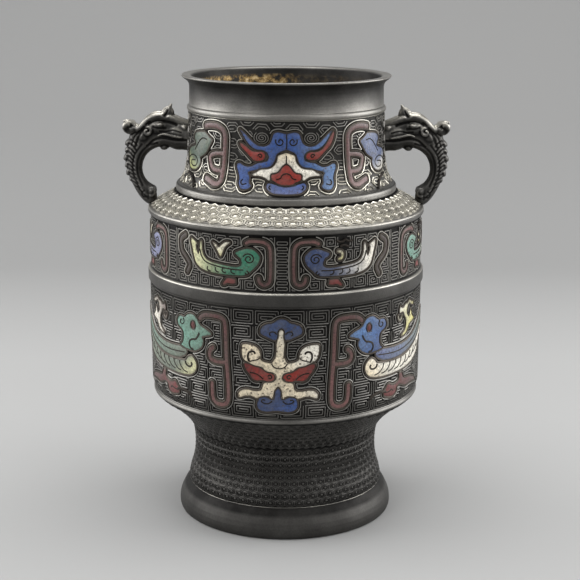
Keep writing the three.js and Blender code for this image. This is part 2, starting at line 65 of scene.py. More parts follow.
# Bands of the wear reading: from a height, to a height, and how far the patina is rubbed through.
# The thin bright bands on the bead and the lip are partly rubbed patina and partly painted
# highlight, and the field's lower bands make it lighter towards its foot.
NECK_BANDS = [
    (223.2, 228.2, 0.62), (228.6, 236.0, 0.4), (236.1, 246.0, 0.16), (246.1, 276.0, 0.06),
    (276.2, 280.6, 0.62), (281.0, 298.4, 0.08), (298.8, 300.1, 0.65),
]


def new_tree(name, inputs):
    """A Geometry Nodes tree with named inputs and one geometry output."""
    tree = bpy.data.node_groups.new(name, "GeometryNodeTree")
    for label, kind in inputs:
        tree.interface.new_socket(label, in_out="INPUT", socket_type="NodeSocket" + kind)
    tree.interface.new_socket("Bronze", in_out="OUTPUT", socket_type="NodeSocketGeometry")
    return tree


def feed(tree, socket, value):
    """Links an input to the source it is given, or sets it to the value."""
    if isinstance(value, bpy.types.NodeSocket):
        tree.links.new(value, socket)
    else:
        socket.default_value = value


def add_node(tree, kind, inputs=(), **settings):
    """A node with its settings, and its inputs fed from (socket name, source or value) pairs."""
    made = tree.nodes.new(kind)
    for key, value in settings.items():
        setattr(made, key, value)
    for name, value in inputs:
        feed(tree, made.inputs[name], value)
    return made


def end_tree(tree, geometry, finish):
    """Ends a tree in real geometry that carries its finish."""
    real = add_node(tree, "GeometryNodeRealizeInstances", [("Geometry", geometry)])
    painted = add_node(tree, "GeometryNodeSetMaterial", [
        ("Geometry", real.outputs["Geometry"]), ("Material", finish)])
    add_node(tree, "NodeGroupOutput", [("Bronze", painted.outputs["Geometry"])])
    return tree


def carried(tree, path, section, caps=False):
    """Carries an upright section along a flat path."""
    upright = add_node(tree, "GeometryNodeSetCurveNormal", [("Curve", path)], mode="Z_UP")
    swept = add_node(tree, "GeometryNodeCurveToMesh", [
        ("Curve", upright.outputs["Curve"]), ("Profile Curve", section), ("Fill Caps", caps)])
    return swept.outputs["Mesh"]


def new_mesh(name, points, edges, faces):
    made = bpy.data.meshes.new(name)
    made.from_pydata(points, edges, faces)
    return made


def new_object(name, data):
    made = bpy.data.objects.new(name, data)
    bpy.context.scene.collection.objects.link(made)
    return made


def evaluated(model):
    """The mesh that an object's modifiers make of it. The object and its own mesh go."""
    depsgraph = bpy.context.evaluated_depsgraph_get()
    mesh = bpy.data.meshes.new_from_object(model.evaluated_get(depsgraph))
    given = model.data
    bpy.data.objects.remove(model)
    bpy.data.meshes.remove(given)
    return mesh


def record(mesh, **readings):
    """Keeps a reading at each corner of a mesh, for its material."""
    for name, values in readings.items():
        mesh.attributes.new(name, "FLOAT", "POINT").data.foreach_set("value", values)


def grown(tree, points, edges, sizes, **readings):
    """Runs a tree on a mesh of points and edges, and gives the result back as a plain mesh."""
    path = new_mesh("path", points, edges, [])
    record(path, **readings)
    holder = new_object("path", path)
    modifier = holder.modifiers.new("grow", "NODES")
    modifier.node_group = tree
    for item in tree.interface.items_tree:
        if item.in_out == "INPUT" and item.name in sizes:
            modifier[item.identifier] = sizes[item.name]
    return evaluated(holder)


def taken_apart(mesh):
    """The corners and faces of a mesh. The mesh itself goes."""
    corners = np.empty(len(mesh.vertices) * 3)
    mesh.vertices.foreach_get("co", corners)
    faces = [list(face.vertices) for face in mesh.polygons]
    bpy.data.meshes.remove(mesh)
    return corners.reshape(-1, 3), faces


def turning_tree():
    """A closed profile carried round the vase's axis on a circle of one metre."""
    tree = new_tree("turned on the axis", [
        ("Profile", "Geometry"), ("Steps round", "Int"), ("Finish", "Material")])
    given = tree.nodes.new("NodeGroupInput").outputs
    profile = add_node(tree, "GeometryNodeMeshToCurve", [("Mesh", given["Profile"])])
    circle = add_node(tree, "GeometryNodeCurvePrimitiveCircle", [
        ("Resolution", given["Steps round"]), ("Radius", 1.0)])
    swept = carried(tree, circle.outputs["Curve"], profile.outputs["Curve"])
    return end_tree(tree, swept, given["Finish"])


TURNING = turning_tree()
STEPS_ROUND = 240
CORNER_EASE = 0.35


def eased(points, bevel, closed=True):
    """Cuts each corner of a path twice, so that it turns in three small bends."""
    points = [np.array(p, float) for p in points]
    last = len(points)
    made = []
    for i, point in enumerate(points):
        if not closed and i in (0, last - 1):
            made.append(point)
            continue
        before = points[i - 1] - point
        after = points[(i + 1) % last] - point
        reach_before, reach_after = np.linalg.norm(before), np.linalg.norm(after)
        back = point + before * min(bevel / reach_before, 0.4)
        ahead = point + after * min(bevel / reach_after, 0.4)
        made += [back, 0.25 * back + 0.5 * point + 0.25 * ahead, ahead]
    return made


def worn_at(points):
    """Wear of a closed profile: high on outward corners, low in creases, a little on flats."""
    points = np.array(points)
    before, after = np.roll(points, 1, 0) - points, np.roll(points, -1, 0) - points
    before /= np.linalg.norm(before, axis=1)[:, None]
    after /= np.linalg.norm(after, axis=1)[:, None]
    turn = before[:, 0] * after[:, 1] - before[:, 1] * after[:, 0]
    return np.clip(0.34 + 1.5 * turn, 0.0, 1.0)


def finish_mesh(mesh, sharp=50.0):
    """Merges doubles, turns the faces outwards and shades the mesh smooth between its edges."""
    work = bmesh.new()
    work.from_mesh(mesh)
    bmesh.ops.remove_doubles(work, verts=work.verts, dist=1e-6)
    bmesh.ops.dissolve_degenerate(work, edges=work.edges, dist=1e-7)
    bmesh.ops.recalc_face_normals(work, faces=work.faces)
    work.to_mesh(mesh)
    work.free()
    mesh.shade_smooth()
    mesh.set_sharp_from_angle(angle=math.radians(sharp))


def placed(piece, node=None):
    """Hides the solid that a piece stands for, if any, and hangs the piece on the root body. All of
    it is one body.
    """
    if node:
        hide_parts(node)
    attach(piece, "root")


def turned(name, node, profile, bands, finish):
    """A turned piece, in place of one solid, from a closed (radius, height) outline in mm."""
    path = eased(profile, CORNER_EASE)
    wear = worn_at(path)
    for low, high, level in bands:
        wear[[low < z < high for _, z in path]] = level
    count = len(path)
    points = [(r * MM - 1.0, -z * MM, 0.0) for r, z in path]
    edges = [(i, (i + 1) % count) for i in range(count)]
    mesh = grown(TURNING, points, edges, {"Steps round": STEPS_ROUND, "Finish": finish}, wear=wear)
    finish_mesh(mesh)
    placed(new_object(name, mesh), node)


def new_material(name):
    """A material, its tree, the inputs of its surface, and the place of each point of a piece."""
    material = bpy.data.materials.new(name)
    material.use_nodes = True
    tree = material.node_tree
    place = tree.nodes.new("ShaderNodeTexCoord").outputs["Object"]
    return material, tree, tree.nodes["Principled BSDF"].inputs, place


def noise(tree, source, scale, detail, rough=0.55):
    made = add_node(tree, "ShaderNodeTexNoise", [
        ("Vector", source), ("Scale", scale), ("Detail", detail), ("Roughness", rough)])
    return made.outputs["Fac"]


def reading(tree, name):
    return add_node(tree, "ShaderNodeAttribute", attribute_name=name).outputs["Fac"]


def ramp(tree, source, stops):
    made = add_node(tree, "ShaderNodeValToRGB", [("Fac", source)])
    bar = made.color_ramp
    while len(bar.elements) < len(stops):
        bar.elements.new(0.5)
    for element, (place, colour) in zip(bar.elements, stops):
        element.position = place
        element.color = (*colour, 1.0) if isinstance(colour, tuple) else (colour,) * 3 + (1.0,)
    return made.outputs["Color"]


def ranged(tree, value, start, end, low=0.0, high=1.0):
    """Carries a value from one range to another, and holds it at the ends."""
    made = add_node(tree, "ShaderNodeMapRange", [
        ("Value", value), ("From Min", start), ("From Max", end), ("To Min", low),
        ("To Max", high)])
    return made.outputs["Result"]


def maths(tree, kind, first, second, third=None, clamp=False):
    made = add_node(tree, "ShaderNodeMath", operation=kind, use_clamp=clamp)
    for socket, value in zip(made.inputs, (first, second, third)):
        if value is not None:
            feed(tree, socket, value)
    return made.outputs[0]


def mixed(tree, share, first, second, blend="MIX"):
    made = add_node(tree, "ShaderNodeMix", data_type="RGBA", blend_type=blend)
    for index, value in ((0, share), (6, first), (7, second)):
        feed(tree, made.inputs[index], (*value, 1.0) if isinstance(value, tuple) else value)
    return made.outputs[2]


def bumped(tree, surface, height, strength, distance):
    bump = add_node(tree, "ShaderNodeBump", [
        ("Height", height), ("Strength", strength), ("Distance", distance)])
    feed(tree, surface["Normal"], bump.outputs["Normal"])


PATINA_DEEP = (0.012, 0.0115, 0.011)
PATINA = (0.085, 0.082, 0.077)
PATINA_RUBBED = (0.27, 0.26, 0.24)
PATINA_BRIGHT = (0.61, 0.58, 0.50)
WARM_TINT = (1.0, 0.82, 0.66)
CRUST_REACH = 0.0635
CRUST_TONES = [(0.4, (0.16, 0.10, 0.05)), (0.56, (0.42, 0.28, 0.11)), (0.7, (0.72, 0.60, 0.38))]


def patinated_bronze(name, grain, brushed=0.0, deposit=False, warm=False):
    """Dark brown-black patina that turns to a paler grey bronze where its wear reading is high.
    That reading holds rubbed wear, and on some bands, the shoulder and the handles' upper sides
    painted highlight as well.
    """
    material, tree, surface, place = new_material(name)
    fine = noise(tree, place, 900.0, 3.0, 0.7)
    level = maths(tree, "MULTIPLY_ADD", noise(tree, place, 46.0, 5.0), 0.34, reading(tree, "wear"))
    level = maths(tree, "SUBTRACT", level, 0.17, clamp=True)
    colour = ramp(tree, level, [
        (0.0, PATINA_DEEP), (0.34, PATINA), (0.72, PATINA_RUBBED), (1.0, PATINA_BRIGHT)])
    colour = mixed(tree, 0.35, colour, fine, "OVERLAY")
    if warm:
        colour = mixed(tree, 0.6, colour, WARM_TINT, "MULTIPLY")
    if deposit:
        colour = mouth_deposit(tree, place, colour)
    feed(tree, surface["Base Color"], colour)
    rough = ramp(tree, level, [(0.0, 0.62), (0.4, 0.43), (1.0, 0.34)])
    rough = maths(tree, "MULTIPLY_ADD", noise(tree, place, 130.0, 3.0), 0.16, rough)
    feed(tree, surface["Roughness"], maths(tree, "SUBTRACT", rough, 0.08, clamp=True))
    feed(tree, surface["Metallic"], 0.9)
    height = maths(tree, "MULTIPLY", fine, grain)
    if brushed:
        stretch = add_node(tree, "ShaderNodeMapping", [("Vector", place), ("Scale", (6, 6, 900))])
        lines = noise(tree, stretch.outputs["Vector"], 1.0, 3.0, 0.8)
        height = maths(tree, "ADD", height, maths(tree, "MULTIPLY", lines, brushed))
    bumped(tree, surface, height, 0.35, 0.0002)
    return material


def mouth_deposit(tree, place, colour):
    """Brown and ochre mineral crust low inside the mouth, thickest at the back left."""
    parts = add_node(tree, "ShaderNodeSeparateXYZ", [("Vector", place)])
    x, y, z = (parts.outputs[i] for i in range(3))
    square = maths(tree, "ADD", maths(tree, "MULTIPLY", x, x), maths(tree, "MULTIPLY", y, y))
    ragged = noise(tree, place, 210.0, 6.0, 0.7)
    amount = maths(tree, "LESS_THAN", square, CRUST_REACH ** 2)
    for share in (ranged(tree, z, 0.2955, 0.2925), ranged(tree, x, 0.012, -0.004, 0.08),
                  ramp(tree, ragged, [(0.42, 0.0), (0.58, 1.0)])):
        amount = maths(tree, "MULTIPLY", amount, share)
    return mixed(tree, amount, colour, ramp(tree, ragged, CRUST_TONES))


bead = []
for step in range(BEAD_STEPS + 1):
    turn = math.pi * step / BEAD_STEPS
    bead.append((BEAD_RADIUS + BEAD_SWELL * math.sin(turn),
                 BEAD_MIDDLE - BEAD_HALF_HEIGHT * math.cos(turn)))
turned("neck", "neck_casting", [
    *NECK_BORE[::-1], (66.2, 223.3), *NECK_FILLET, *NECK_FIELD, *bead, *CAVETTO[::-1],
    *LIP[::-1]], NECK_BANDS,
    patinated_bronze("brushed neck bronze", brushed=2.2, grain=0.6, deposit=True))

# Body section. Bronze, one casting from the sloping shoulder to the curved underside. The
# shoulder, the girdle and the rims are plain bands left standing between the sunk fields.
UPPER_FIELD = [(90.8, 172.8), (90.5, 208.2)]
LOWER_FIELD = [(89.6, 89.4), (91.1, 95.0), (91.5, 162.2)]
GIRDLE = [(92.7, 163.4), (93.4, 164.4), (93.4, 171.0), (92.8, 172.0)]
SHOULDER_EDGE = [(92.0, 208.9), (92.9, 209.8), (92.9, 212.2), (92.2, 213.2), (90.6, 213.4)]
SHOULDER_TOP = [(74.9, 222.2), (74.4, 223.0), (66.6, 223.0)]
BODY_RIM = [(90.5, 86.0), (91.0, 87.2), (90.4, 88.6)]
UNDERSIDE = [
    (63.8, 60.0), (65.6, 63.6), (68.6, 67.8), (73.0, 72.6), (81.0, 79.6), (87.0, 83.6),
    (89.2, 85.2),
]
BODY_BORE = [
    (66.6, 218.4), (85.8, 210.6), (87.4, 207.6), (87.6, 172.0), (88.2, 130.0), (87.2, 94.0),
    (84.4, 87.6), (76.0, 81.0), (68.4, 74.4), (64.6, 69.8), (60.6, 67.0),
]
# Body bands, read the same way. The rim's thin bright line, the narrow band at the girdle's upper
# edge, and the shoulder's edge and top, which face the lamp overhead, are partly rubbed patina and
# partly painted highlight.
BODY_BANDS = [
    (60.1, 85.4, 0.04), (86.6, 88.8, 0.5), (89.2, 162.4, 0.04), (163.3, 171.2, 0.28),
    (171.3, 172.3, 0.8), (172.6, 208.4, 0.04), (208.8, 211.9, 0.4), (212.0, 222.4, 0.75),
]
turned("body", "body_casting", [
    (60.6, 60.0), *UNDERSIDE, *BODY_RIM, *LOWER_FIELD, *GIRDLE, *UPPER_FIELD, *SHOULDER_EDGE,
    *SHOULDER_TOP, *BODY_BORE], BODY_BANDS,
    patinated_bronze("body bronze", brushed=0.9, grain=0.9))

# Foot section. Bronze, a waisted stem with a spigot that enters the body, over a plain flared
# band. It has a ledge inside for the base plate.
WAIST = [
    (66.7, 19.9), (66.4, 23.0), (65.6, 27.0), (64.4, 31.0), (63.3, 35.0), (62.6, 39.0),
    (62.2, 44.0), (62.2, 50.0), (62.8, 55.4), (63.6, 59.7),
]
FOOT_BAND = [
    (66.4, 0.0), (71.6, 0.0), (73.2, 0.7), (73.8, 2.4), (73.9, 4.4), (73.6, 7.2), (72.7, 10.4),
    (71.3, 13.4), (69.7, 16.2), (68.1, 18.5), (66.9, 19.85),
]
FOOT_BORE = [
    (60.2, 59.7), (60.2, 67.4), (57.2, 67.4), (57.4, 44.0), (60.4, 28.0), (62.0, 16.0),
    (66.8, 16.0),
]
FOOT_BANDS = [(-0.1, 15.0, 0.2), (15.1, 19.95, 0.05), (20.0, 59.9, 0.04)]
turned("foot", "foot_casting", [*FOOT_BAND, *WAIST, *FOOT_BORE], FOOT_BANDS,
       patinated_bronze("foot bronze", brushed=0.5, grain=0.8))

# Base plate. A thin disc of sheet bronze, which closes the vessel. It is let into the foot from
# below and soldered against the foot's ledge.
PLATE = [(0.0, 12.7), (66.2, 12.7), (66.4, 12.9), (66.4, 15.5), (66.2, 15.7), (0.0, 15.7)]
turned("base", "base_plate", PLATE, (), patinated_bronze("base plate bronze", grain=1.6))

# Neck frieze. The ground is filled with cast thunder scrolls, and a beast mask, with a framed
# creature on each side of it, stands over them as a pad of bronze. Its cells hold enamel.
# Sizes are in mm. Heights are over the ground, and offsets lie outside a motif's outline.
GRID, FIELD_MARGIN, GROUND_EDGE = 0.4, 8.0, 0.5
PAD_HEIGHT, PAD_FOOT, PAD_SPACING = 0.9, -0.3, 3.2
GLASS_EDGE, GLASS_RISE, GLASS_ROUNDING = 1.0, 0.32, 0.9
GLASS_FOOT, GLASS_SPACING = -0.2, 1.25
WALL_OFFSET, RIM_OFFSET, PAD_OFFSET = 0.34, 0.62, 1.0
ECHO_OFFSET, SCROLL_CLEAR = 2.05, 2.75
LINE_SHARP = 75.0
# Foot width, crest width, underside and top of each kind of ridge, in mm over the ground.
RIM, WALL = (1.2, 0.8, 0.5, 1.3), (0.7, 0.4, 0.7, 1.36)
WIRE, THICK_WIRE = (1.1, 0.7, 0.8, 1.46), (1.7, 1.2, 0.6, 1.46)
SCROLL, ECHO = (0.9, 0.45, -0.25, 0.7), (1.0, 0.55, -0.25, 0.85)
RELIEF_WEAR = [(0.0, 0.04), (0.9, 0.14), (1.28, 0.34), (1.36, 0.24), (1.44, 0.08)]
HEXAGON = 0.866
rng = random.Random(7)


def chaikin(points, rounds, closed=True, bite=0.22):
    """Corner cutting: a hand-drawn curve through a few points."""
    path = np.array(points, float)
    for _ in range(rounds):
        ahead = np.roll(path, -1, 0) if closed else path[1:]
        here = path if closed else path[:-1]
        made = np.empty((len(here) * 2, path.shape[1]))
        made[0::2] = (1 - bite) * here + bite * ahead
        made[1::2] = bite * here + (1 - bite) * ahead
        path = made if closed else np.vstack([path[:1], made[1:-1], path[-1:]])
    return path


def distance(points, path, closed):
    """Distance of many points from a path."""
    best = np.full(len(points), 1e9)
    ends = np.roll(path, -1, 0) if closed else path[1:]
    for start, end in zip(path, ends):
        along = end - start
        length = max(along @ along, 1e-12)
        share = np.clip(((points - start) @ along) / length, 0, 1)
        off = points - start - share[:, None] * along
        np.minimum(best, np.einsum("ij,ij->i", off, off), out=best)
    return np.sqrt(best)


def within(points, path):
    """Whether many points lie inside a closed path."""
    found = np.zeros(len(points), bool)
    for (x0, y0), (x1, y1) in zip(path, np.roll(path, -1, 0)):
        crosses = (y0 > points[:, 1]) != (y1 > points[:, 1])
        if y0 != y1:
            at = x0 + (points[:, 1] - y0) * (x1 - x0) / (y1 - y0)
            found ^= crosses & (points[:, 0] < at)
    return found


def shape_distance(shape, points):
    """Signed distance, negative inside, of a shape built of filled, drawn and cut outlines."""
    total = np.full(len(points), 1e9)
    for kind, path, *extra in shape:
        if kind == "line":
            part = distance(points, path, False) - extra[0] / 2
            total = np.minimum(total, part)
            continue
        part = distance(points, path, True)
        part[within(points, path)] *= -1
        total = np.maximum(total, -part) if kind == "cut" else np.minimum(total, part)
    return total


def fill(points, rounds=2):
    return ("fill", chaikin(points, rounds))


def cut(points, rounds):
    return ("cut", chaikin(points, rounds))


def line(points, width):
    return ("line", chaikin(points, 2, False), width)


def both(half):
    """The right half of a symmetric outline, closed by its mirror image."""
    return list(half) + [(-x, z) for x, z in half[::-1] if x > 0]


def grid_of(shape, margin=7.0):
    """Signed distance of a shape on the common grid: (first column, first row, values)."""
    every = np.vstack([path for _, path, *_ in shape])
    low = np.floor((every.min(0) - margin) / GRID).astype(int)
    high = np.ceil((every.max(0) + margin) / GRID).astype(int)
    columns, rows = np.arange(low[0], high[0] + 1), np.arange(low[1], high[1] + 1)
    across, up = np.meshgrid(columns * GRID, rows * GRID, indexing="ij")
    values = shape_distance(shape, np.column_stack([across.ravel(), up.ravel()]))
    return int(low[0]), int(low[1]), values.reshape(across.shape)


def contours(corner, values, level, open_too=False):
    """Closed outlines at a level of a gridded distance, found cell by cell and linked up. Open
    ones, which run off the grid, come too where they are asked for."""
    field = values - level
    field[field == 0] = 1e-9
    inner = field < 0
    mixed_cells = np.argwhere(
        (inner[:-1, :-1] != inner[1:, :-1]) | (inner[:-1, :-1] != inner[:-1, 1:])
        | (inner[:-1, :-1] != inner[1:, 1:]))
    ahead, places = {}, {}

    def crossing(first, second):
        key = (first, second) if first < second else (second, first)
        if key not in places:
            a, b = field[key[0]], field[key[1]]
            share = a / (a - b)
            places[key] = (
                (corner[0] + key[0][0] + share * (key[1][0] - key[0][0])) * GRID,
                (corner[1] + key[0][1] + share * (key[1][1] - key[0][1])) * GRID)
        return key

    for i, j in mixed_cells:
        ring = [(i, j), (i + 1, j), (i + 1, j + 1), (i, j + 1)]
        ring = [(int(a), int(b)) for a, b in ring]
        state = [bool(inner[p]) for p in ring]
        outs, ins = [], []
        for k in range(4):
            if state[k] and not state[(k + 1) % 4]:
                outs.append((k, crossing(ring[k], ring[(k + 1) % 4])))
            elif not state[k] and state[(k + 1) % 4]:
                ins.append((k, crossing(ring[k], ring[(k + 1) % 4])))
        if len(outs) == 1:
            ahead[outs[0][1]] = ins[0][1]
        else:
            middle = field[i:i + 2, j:j + 2].mean() < 0
            for k, key in outs:
                target = (k + 1) % 4 if middle else (k - 1) % 4
                ahead[key] = dict(ins)[target]
    loops, left = [], set(ahead)
    loose = sorted(left - set(ahead.values()))
    for start in loose + sorted(left):
        if start not in left:
            continue
        left.remove(start)
        loop, here = [start], ahead[start]
        while here in left:
            left.remove(here)
            loop.append(here)
            here = ahead[here]
        if len(loop) > 8 and (here == start or open_too):
            if open_too:
                loop.append(here)
            loops.append(np.array([places[key] for key in loop]))
    return loops


def thinned(path, slack=0.05, longest=2.4):
    """Fewer points on a closed path, none of them further from it than the slack."""
    count = len(path)
    kept = []

    def split(first, last):
        a, b = path[first % count], path[last % count]
        span = b - a
        length = max(np.hypot(*span), 1e-9)
        inner = path[[k % count for k in range(first + 1, last)]] - a
        if len(inner):
            off = np.abs(inner[:, 0] * span[1] - inner[:, 1] * span[0]) / length
            far = int(off.argmax())
            if off[far] > slack or length > longest:
                middle = first + 1 + (far if off[far] > slack else len(inner) // 2)
                split(first, middle)
                split(middle, last)
                return
        kept.append(first % count)

    quarter = max(count // 4, 1)
    marks = [0, quarter, 2 * quarter, 3 * quarter, count]
    for first, last in zip(marks, marks[1:]):
        split(first, last)
    return path[kept]


def slab(loops, sample, level, spacing, top, bottom):
    """A closed slab inside outlines. Its upper side follows top(distance to the outline)."""
    loops = [thinned(loop) for loop in loops]
    points, edges = [], []
    for loop in loops:
        first = len(points)
        points += [tuple(p) for p in loop]
        edges += [(first + k, first + (k + 1) % len(loop)) for k in range(len(loop))]
    outline = np.array(points)
    low, high = outline.min(0), outline.max(0)
    row_rise = spacing * HEXAGON
    grid = []
    for row in range(int((high[1] - low[1]) / row_rise) + 1):
        shift = spacing / 2 * (row % 2)
        for column in range(int((high[0] - low[0]) / spacing) + 1):
            grid.append((low[0] + shift + column * spacing, low[1] + row * row_rise))
    grid = np.array(grid)
    grid = grid[sample(grid) < level - 0.45 * min(spacing, 1.6)]
    points += [tuple(p) for p in grid]
    places = [Vector(p) for p in points]
    flat, _, faces, _, _, _ = delaunay_2d_cdt(places, edges, [], 0, 1e-5, False)
    flat = np.array([tuple(p) for p in flat])
    faces = np.array([f for f in faces if len(f) == 3])
    faces = faces[sample(flat[faces].mean(1)) < level]
    span = flat[faces]
    side_a, side_b = span[:, 1] - span[:, 0], span[:, 2] - span[:, 0]
    area = side_a[:, 0] * side_b[:, 1] - side_a[:, 1] * side_b[:, 0]
    faces = faces[np.abs(area) > 1e-7]
    area = area[np.abs(area) > 1e-7]
    faces[area < 0] = faces[area < 0][:, ::-1]
    used, faces = np.unique(faces, return_inverse=True)
    faces = faces.reshape(-1, 3)
    flat = flat[used]
    deep = np.clip(level - sample(flat), 0, None)
    count = len(flat)
    upper = np.column_stack([flat, top(deep)])
    lower = np.column_stack([flat, np.full(count, bottom)])
    made = [tuple(f) for f in faces] + [tuple(f[::-1] + count) for f in faces]
    seen = dict.fromkeys(edge for a, b, c in faces for edge in ((a, b), (b, c), (c, a)))
    made += [(b, a, a + count, b + count) for a, b in seen if (b, a) not in seen]
    return np.vstack([upper, lower]), made, np.concatenate([deep, np.zeros(count)])


def sampler(corner, values):
    """Reads a gridded distance at any points, from the four grid points around each."""
    def sample(points):
        place = points / GRID - np.array(corner)
        low = np.clip(np.floor(place).astype(int), 0, np.array(values.shape) - 2)
        share = np.clip(place - low, 0, 1)
        i, j = low[:, 0], low[:, 1]
        a, b = share[:, 0], share[:, 1]
        return (values[i, j] * (1 - a) * (1 - b) + values[i + 1, j] * a * (1 - b)
                + values[i, j + 1] * (1 - a) * b + values[i + 1, j + 1] * a * b)
    return sample


def ridge_section(tree, crest, foot, height):
    section = add_node(tree, "GeometryNodeCurvePrimitiveQuadrilateral", [
        ("Bottom Width", crest), ("Top Width", foot), ("Height", height), ("Offset", 0.0)],
        mode="TRAPEZOID")
    return section.outputs["Curve"]


def raised_line_tree():
    """A cast ridge with sloping sides along every path, in the flat."""
    tree = new_tree("raised line", [
        ("Paths", "Geometry"), ("Foot width", "Float"), ("Crest width", "Float"),
        ("Height", "Float"), ("Finish", "Material")])
    given = tree.nodes.new("NodeGroupInput").outputs
    paths = add_node(tree, "GeometryNodeMeshToCurve", [("Mesh", given["Paths"])])
    section = ridge_section(tree, given["Crest width"], given["Foot width"], given["Height"])
    swept = carried(tree, paths.outputs["Curve"], section, caps=True)
    return end_tree(tree, swept, given["Finish"])


RAISED_LINE = raised_line_tree()


def ridges(paths, foot, crest, low, high):
    """Ridges along flat paths: (path, closed) pairs. Heights are over the ground, in mm."""
    points, edges = [], []
    for path, closed in paths:
        first = len(points)
        points += [(x, z, (low + high) / 2) for x, z in path]
        edges += [(first + k, first + k + 1) for k in range(len(path) - 1)]
        if closed:
            edges.append((first + len(path) - 1, first))
    return taken_apart(grown(RAISED_LINE, points, edges, {
        "Foot width": foot, "Crest width": crest, "Height": high - low}))


def laid_on(flat, frieze):
    """Bends flat work, x round the vase and z up with its height over the ground, in metres."""
    radii = np.array([r for r, _ in frieze["ground"]])
    rises = np.array([z for _, z in frieze["ground"]])
    keys = frieze.get("along", rises)
    slope = np.gradient(radii, keys), np.gradient(rises, keys)
    size = np.hypot(*slope)
    key = flat[:, 1]
    out = np.interp(key, keys, slope[1] / size)
    up = np.interp(key, keys, -slope[0] / size)
    r = np.interp(key, keys, radii) + flat[:, 2] * out
    z = np.interp(key, keys, rises) + flat[:, 2] * up
    z += np.clip(key - keys[-1], 0, None) + np.clip(key - keys[0], None, 0)
    angle = flat[:, 0] / frieze["radius"] + math.radians(frieze["turn"])
    return np.column_stack([r * np.sin(angle), -r * np.cos(angle), z]) * MM


def gathered(parts):
    """Joins parts, (corners, faces) each, into one."""
    corners, faces, start = [], [], 0
    for some, their in parts:
        corners.append(some)
        faces += [[int(k) + start for k in face] for face in their]
        start += len(some)
    return np.vstack(corners), faces


def piece_from(name, parts, frieze, finish, wear=None, sharp=50.0, **readings):
    """Joins flat parts, lays them on a frieze and makes one object. The wear reading, where a piece
    has any, is worked out from the flat places; on the shoulder's diaper it is partly painted
    highlight."""
    flat, faces = gathered(parts)
    mesh = new_mesh(name, laid_on(flat, frieze).tolist(), [], faces)
    if wear is not None:
        record(mesh, wear=wear(flat))
    record(mesh, **readings)
    mesh.update()
    mesh.shade_smooth()
    mesh.set_sharp_from_angle(angle=math.radians(sharp))
    mesh.materials.append(finish)
    return new_object(name, mesh)


def new_frieze(name, ground, radius, turn, seam, bottom, top):
    """A frieze laid out flat from a seam that lies clear of its motifs."""
    columns = round(2 * math.pi * radius / GRID)
    rows = int((top - bottom + 2 * FIELD_MARGIN) / GRID) + 1
    corner = round(seam * radius / GRID) - columns, round((bottom - FIELD_MARGIN) / GRID)
    return {
        "name": name, "ground": ground, "radius": radius, "turn": turn, "bottom": bottom,
        "top": top, "columns": columns, "corner": corner,
        "field": np.full((columns + 1, rows), 99.0), "busy": [], "walls": [], "wires": [],
        "thick wires": [], "lines": [],
    }


def stamp(frieze, corner, values):
    """Joins a shape's distance into the frieze's own."""
    field = frieze["field"]
    for i in range(values.shape[0]):
        column = (corner[0] + i - frieze["corner"][0]) % frieze["columns"]
        first = corner[1] - frieze["corner"][1]
        low, high = max(first, 0), min(first + values.shape[1], field.shape[1])
        if high > low:
            strip = values[i, low - first:high - first]
            field[column, low:high] = np.minimum(field[column, low:high], strip)
            if column == 0:
                field[-1, low:high] = field[0, low:high]


def dome(deep):
    """Height of the fused glass, a low round cushion, at a depth inside its outline."""
    return GLASS_EDGE + GLASS_RISE * (1 - np.exp(-deep / GLASS_ROUNDING))


SHAPES = {}


def shaped(shape):
    """A shape's grid, outlines and enamel, worked out once for all its copies."""
    key = id(shape)
    if key not in SHAPES:
        left, bottom, values = grid_of(shape)
        sample = sampler((left, bottom), values)
        loops = contours((left, bottom), values.copy(), 0.0)
        enamel = slab(loops, sample, 0.0, GLASS_SPACING, dome, GLASS_FOOT)
        walls = [thinned(loop) for loop in contours((left, bottom), values, WALL_OFFSET)]
        SHAPES[key] = (left, bottom, values, enamel, walls)
    return SHAPES[key]


FILM, PIT, GRIME_AND_EDGE_SHADE = (0.13, 0.125, 0.11), (0.07, 0.05, 0.035), (0.055, 0.042, 0.03)


def enamel_glass(name, colour, second, pits=1.0):
    """Opaque glass enamel with pinholes, an edge darkened by grime and by painted shade against its
    walls, and a second colour where it shades.
    """
    material, tree, surface, place = new_material(name)
    share = maths(tree, "MULTIPLY_ADD", noise(tree, place, 240.0, 4.0, 0.6), 0.5,
                  reading(tree, "fade"))
    base = mixed(tree, maths(tree, "SUBTRACT", share, 0.25, clamp=True), colour, second)
    mottle = noise(tree, place, 620.0, 4.0, 0.7)
    shade = ramp(tree, mottle, [(0.32, 0.42), (0.48, 0.95), (0.68, 1.34)])
    base = mixed(tree, 1.0, base, shade, "MULTIPLY")
    dull = ramp(tree, noise(tree, place, 75.0, 5.0, 0.65), [(0.44, 0.0), (0.62, 0.3)])
    base = mixed(tree, dull, base, FILM)
    holes = add_node(tree, "ShaderNodeTexVoronoi", [("Vector", place), ("Scale", 420.0)])
    reach = maths(tree, "MULTIPLY", noise(tree, place, 90.0, 2.0), 0.42 * pits)
    reach = maths(tree, "SUBTRACT", reach, 0.06)
    hole = maths(tree, "LESS_THAN", holes.outputs["Distance"], reach)
    base = mixed(tree, maths(tree, "MULTIPLY", hole, 0.8), base, PIT)
    # Darker within 0.6 mm of the cell's edge: partly grime, partly painted shade where the bronze
    # walls stand over the glass.
    base = mixed(tree, ranged(tree, reading(tree, "edge"), 0.0, 0.6, 0.6, 0.0), base, GRIME_AND_EDGE_SHADE)
    feed(tree, surface["Base Color"], base)
    feed(tree, surface["Roughness"], ramp(tree, mottle, [(0.3, 0.5), (0.7, 0.3)]))
    bumped(tree, surface, maths(tree, "SUBTRACT", mottle, hole), 0.4, 0.00025)
    return material


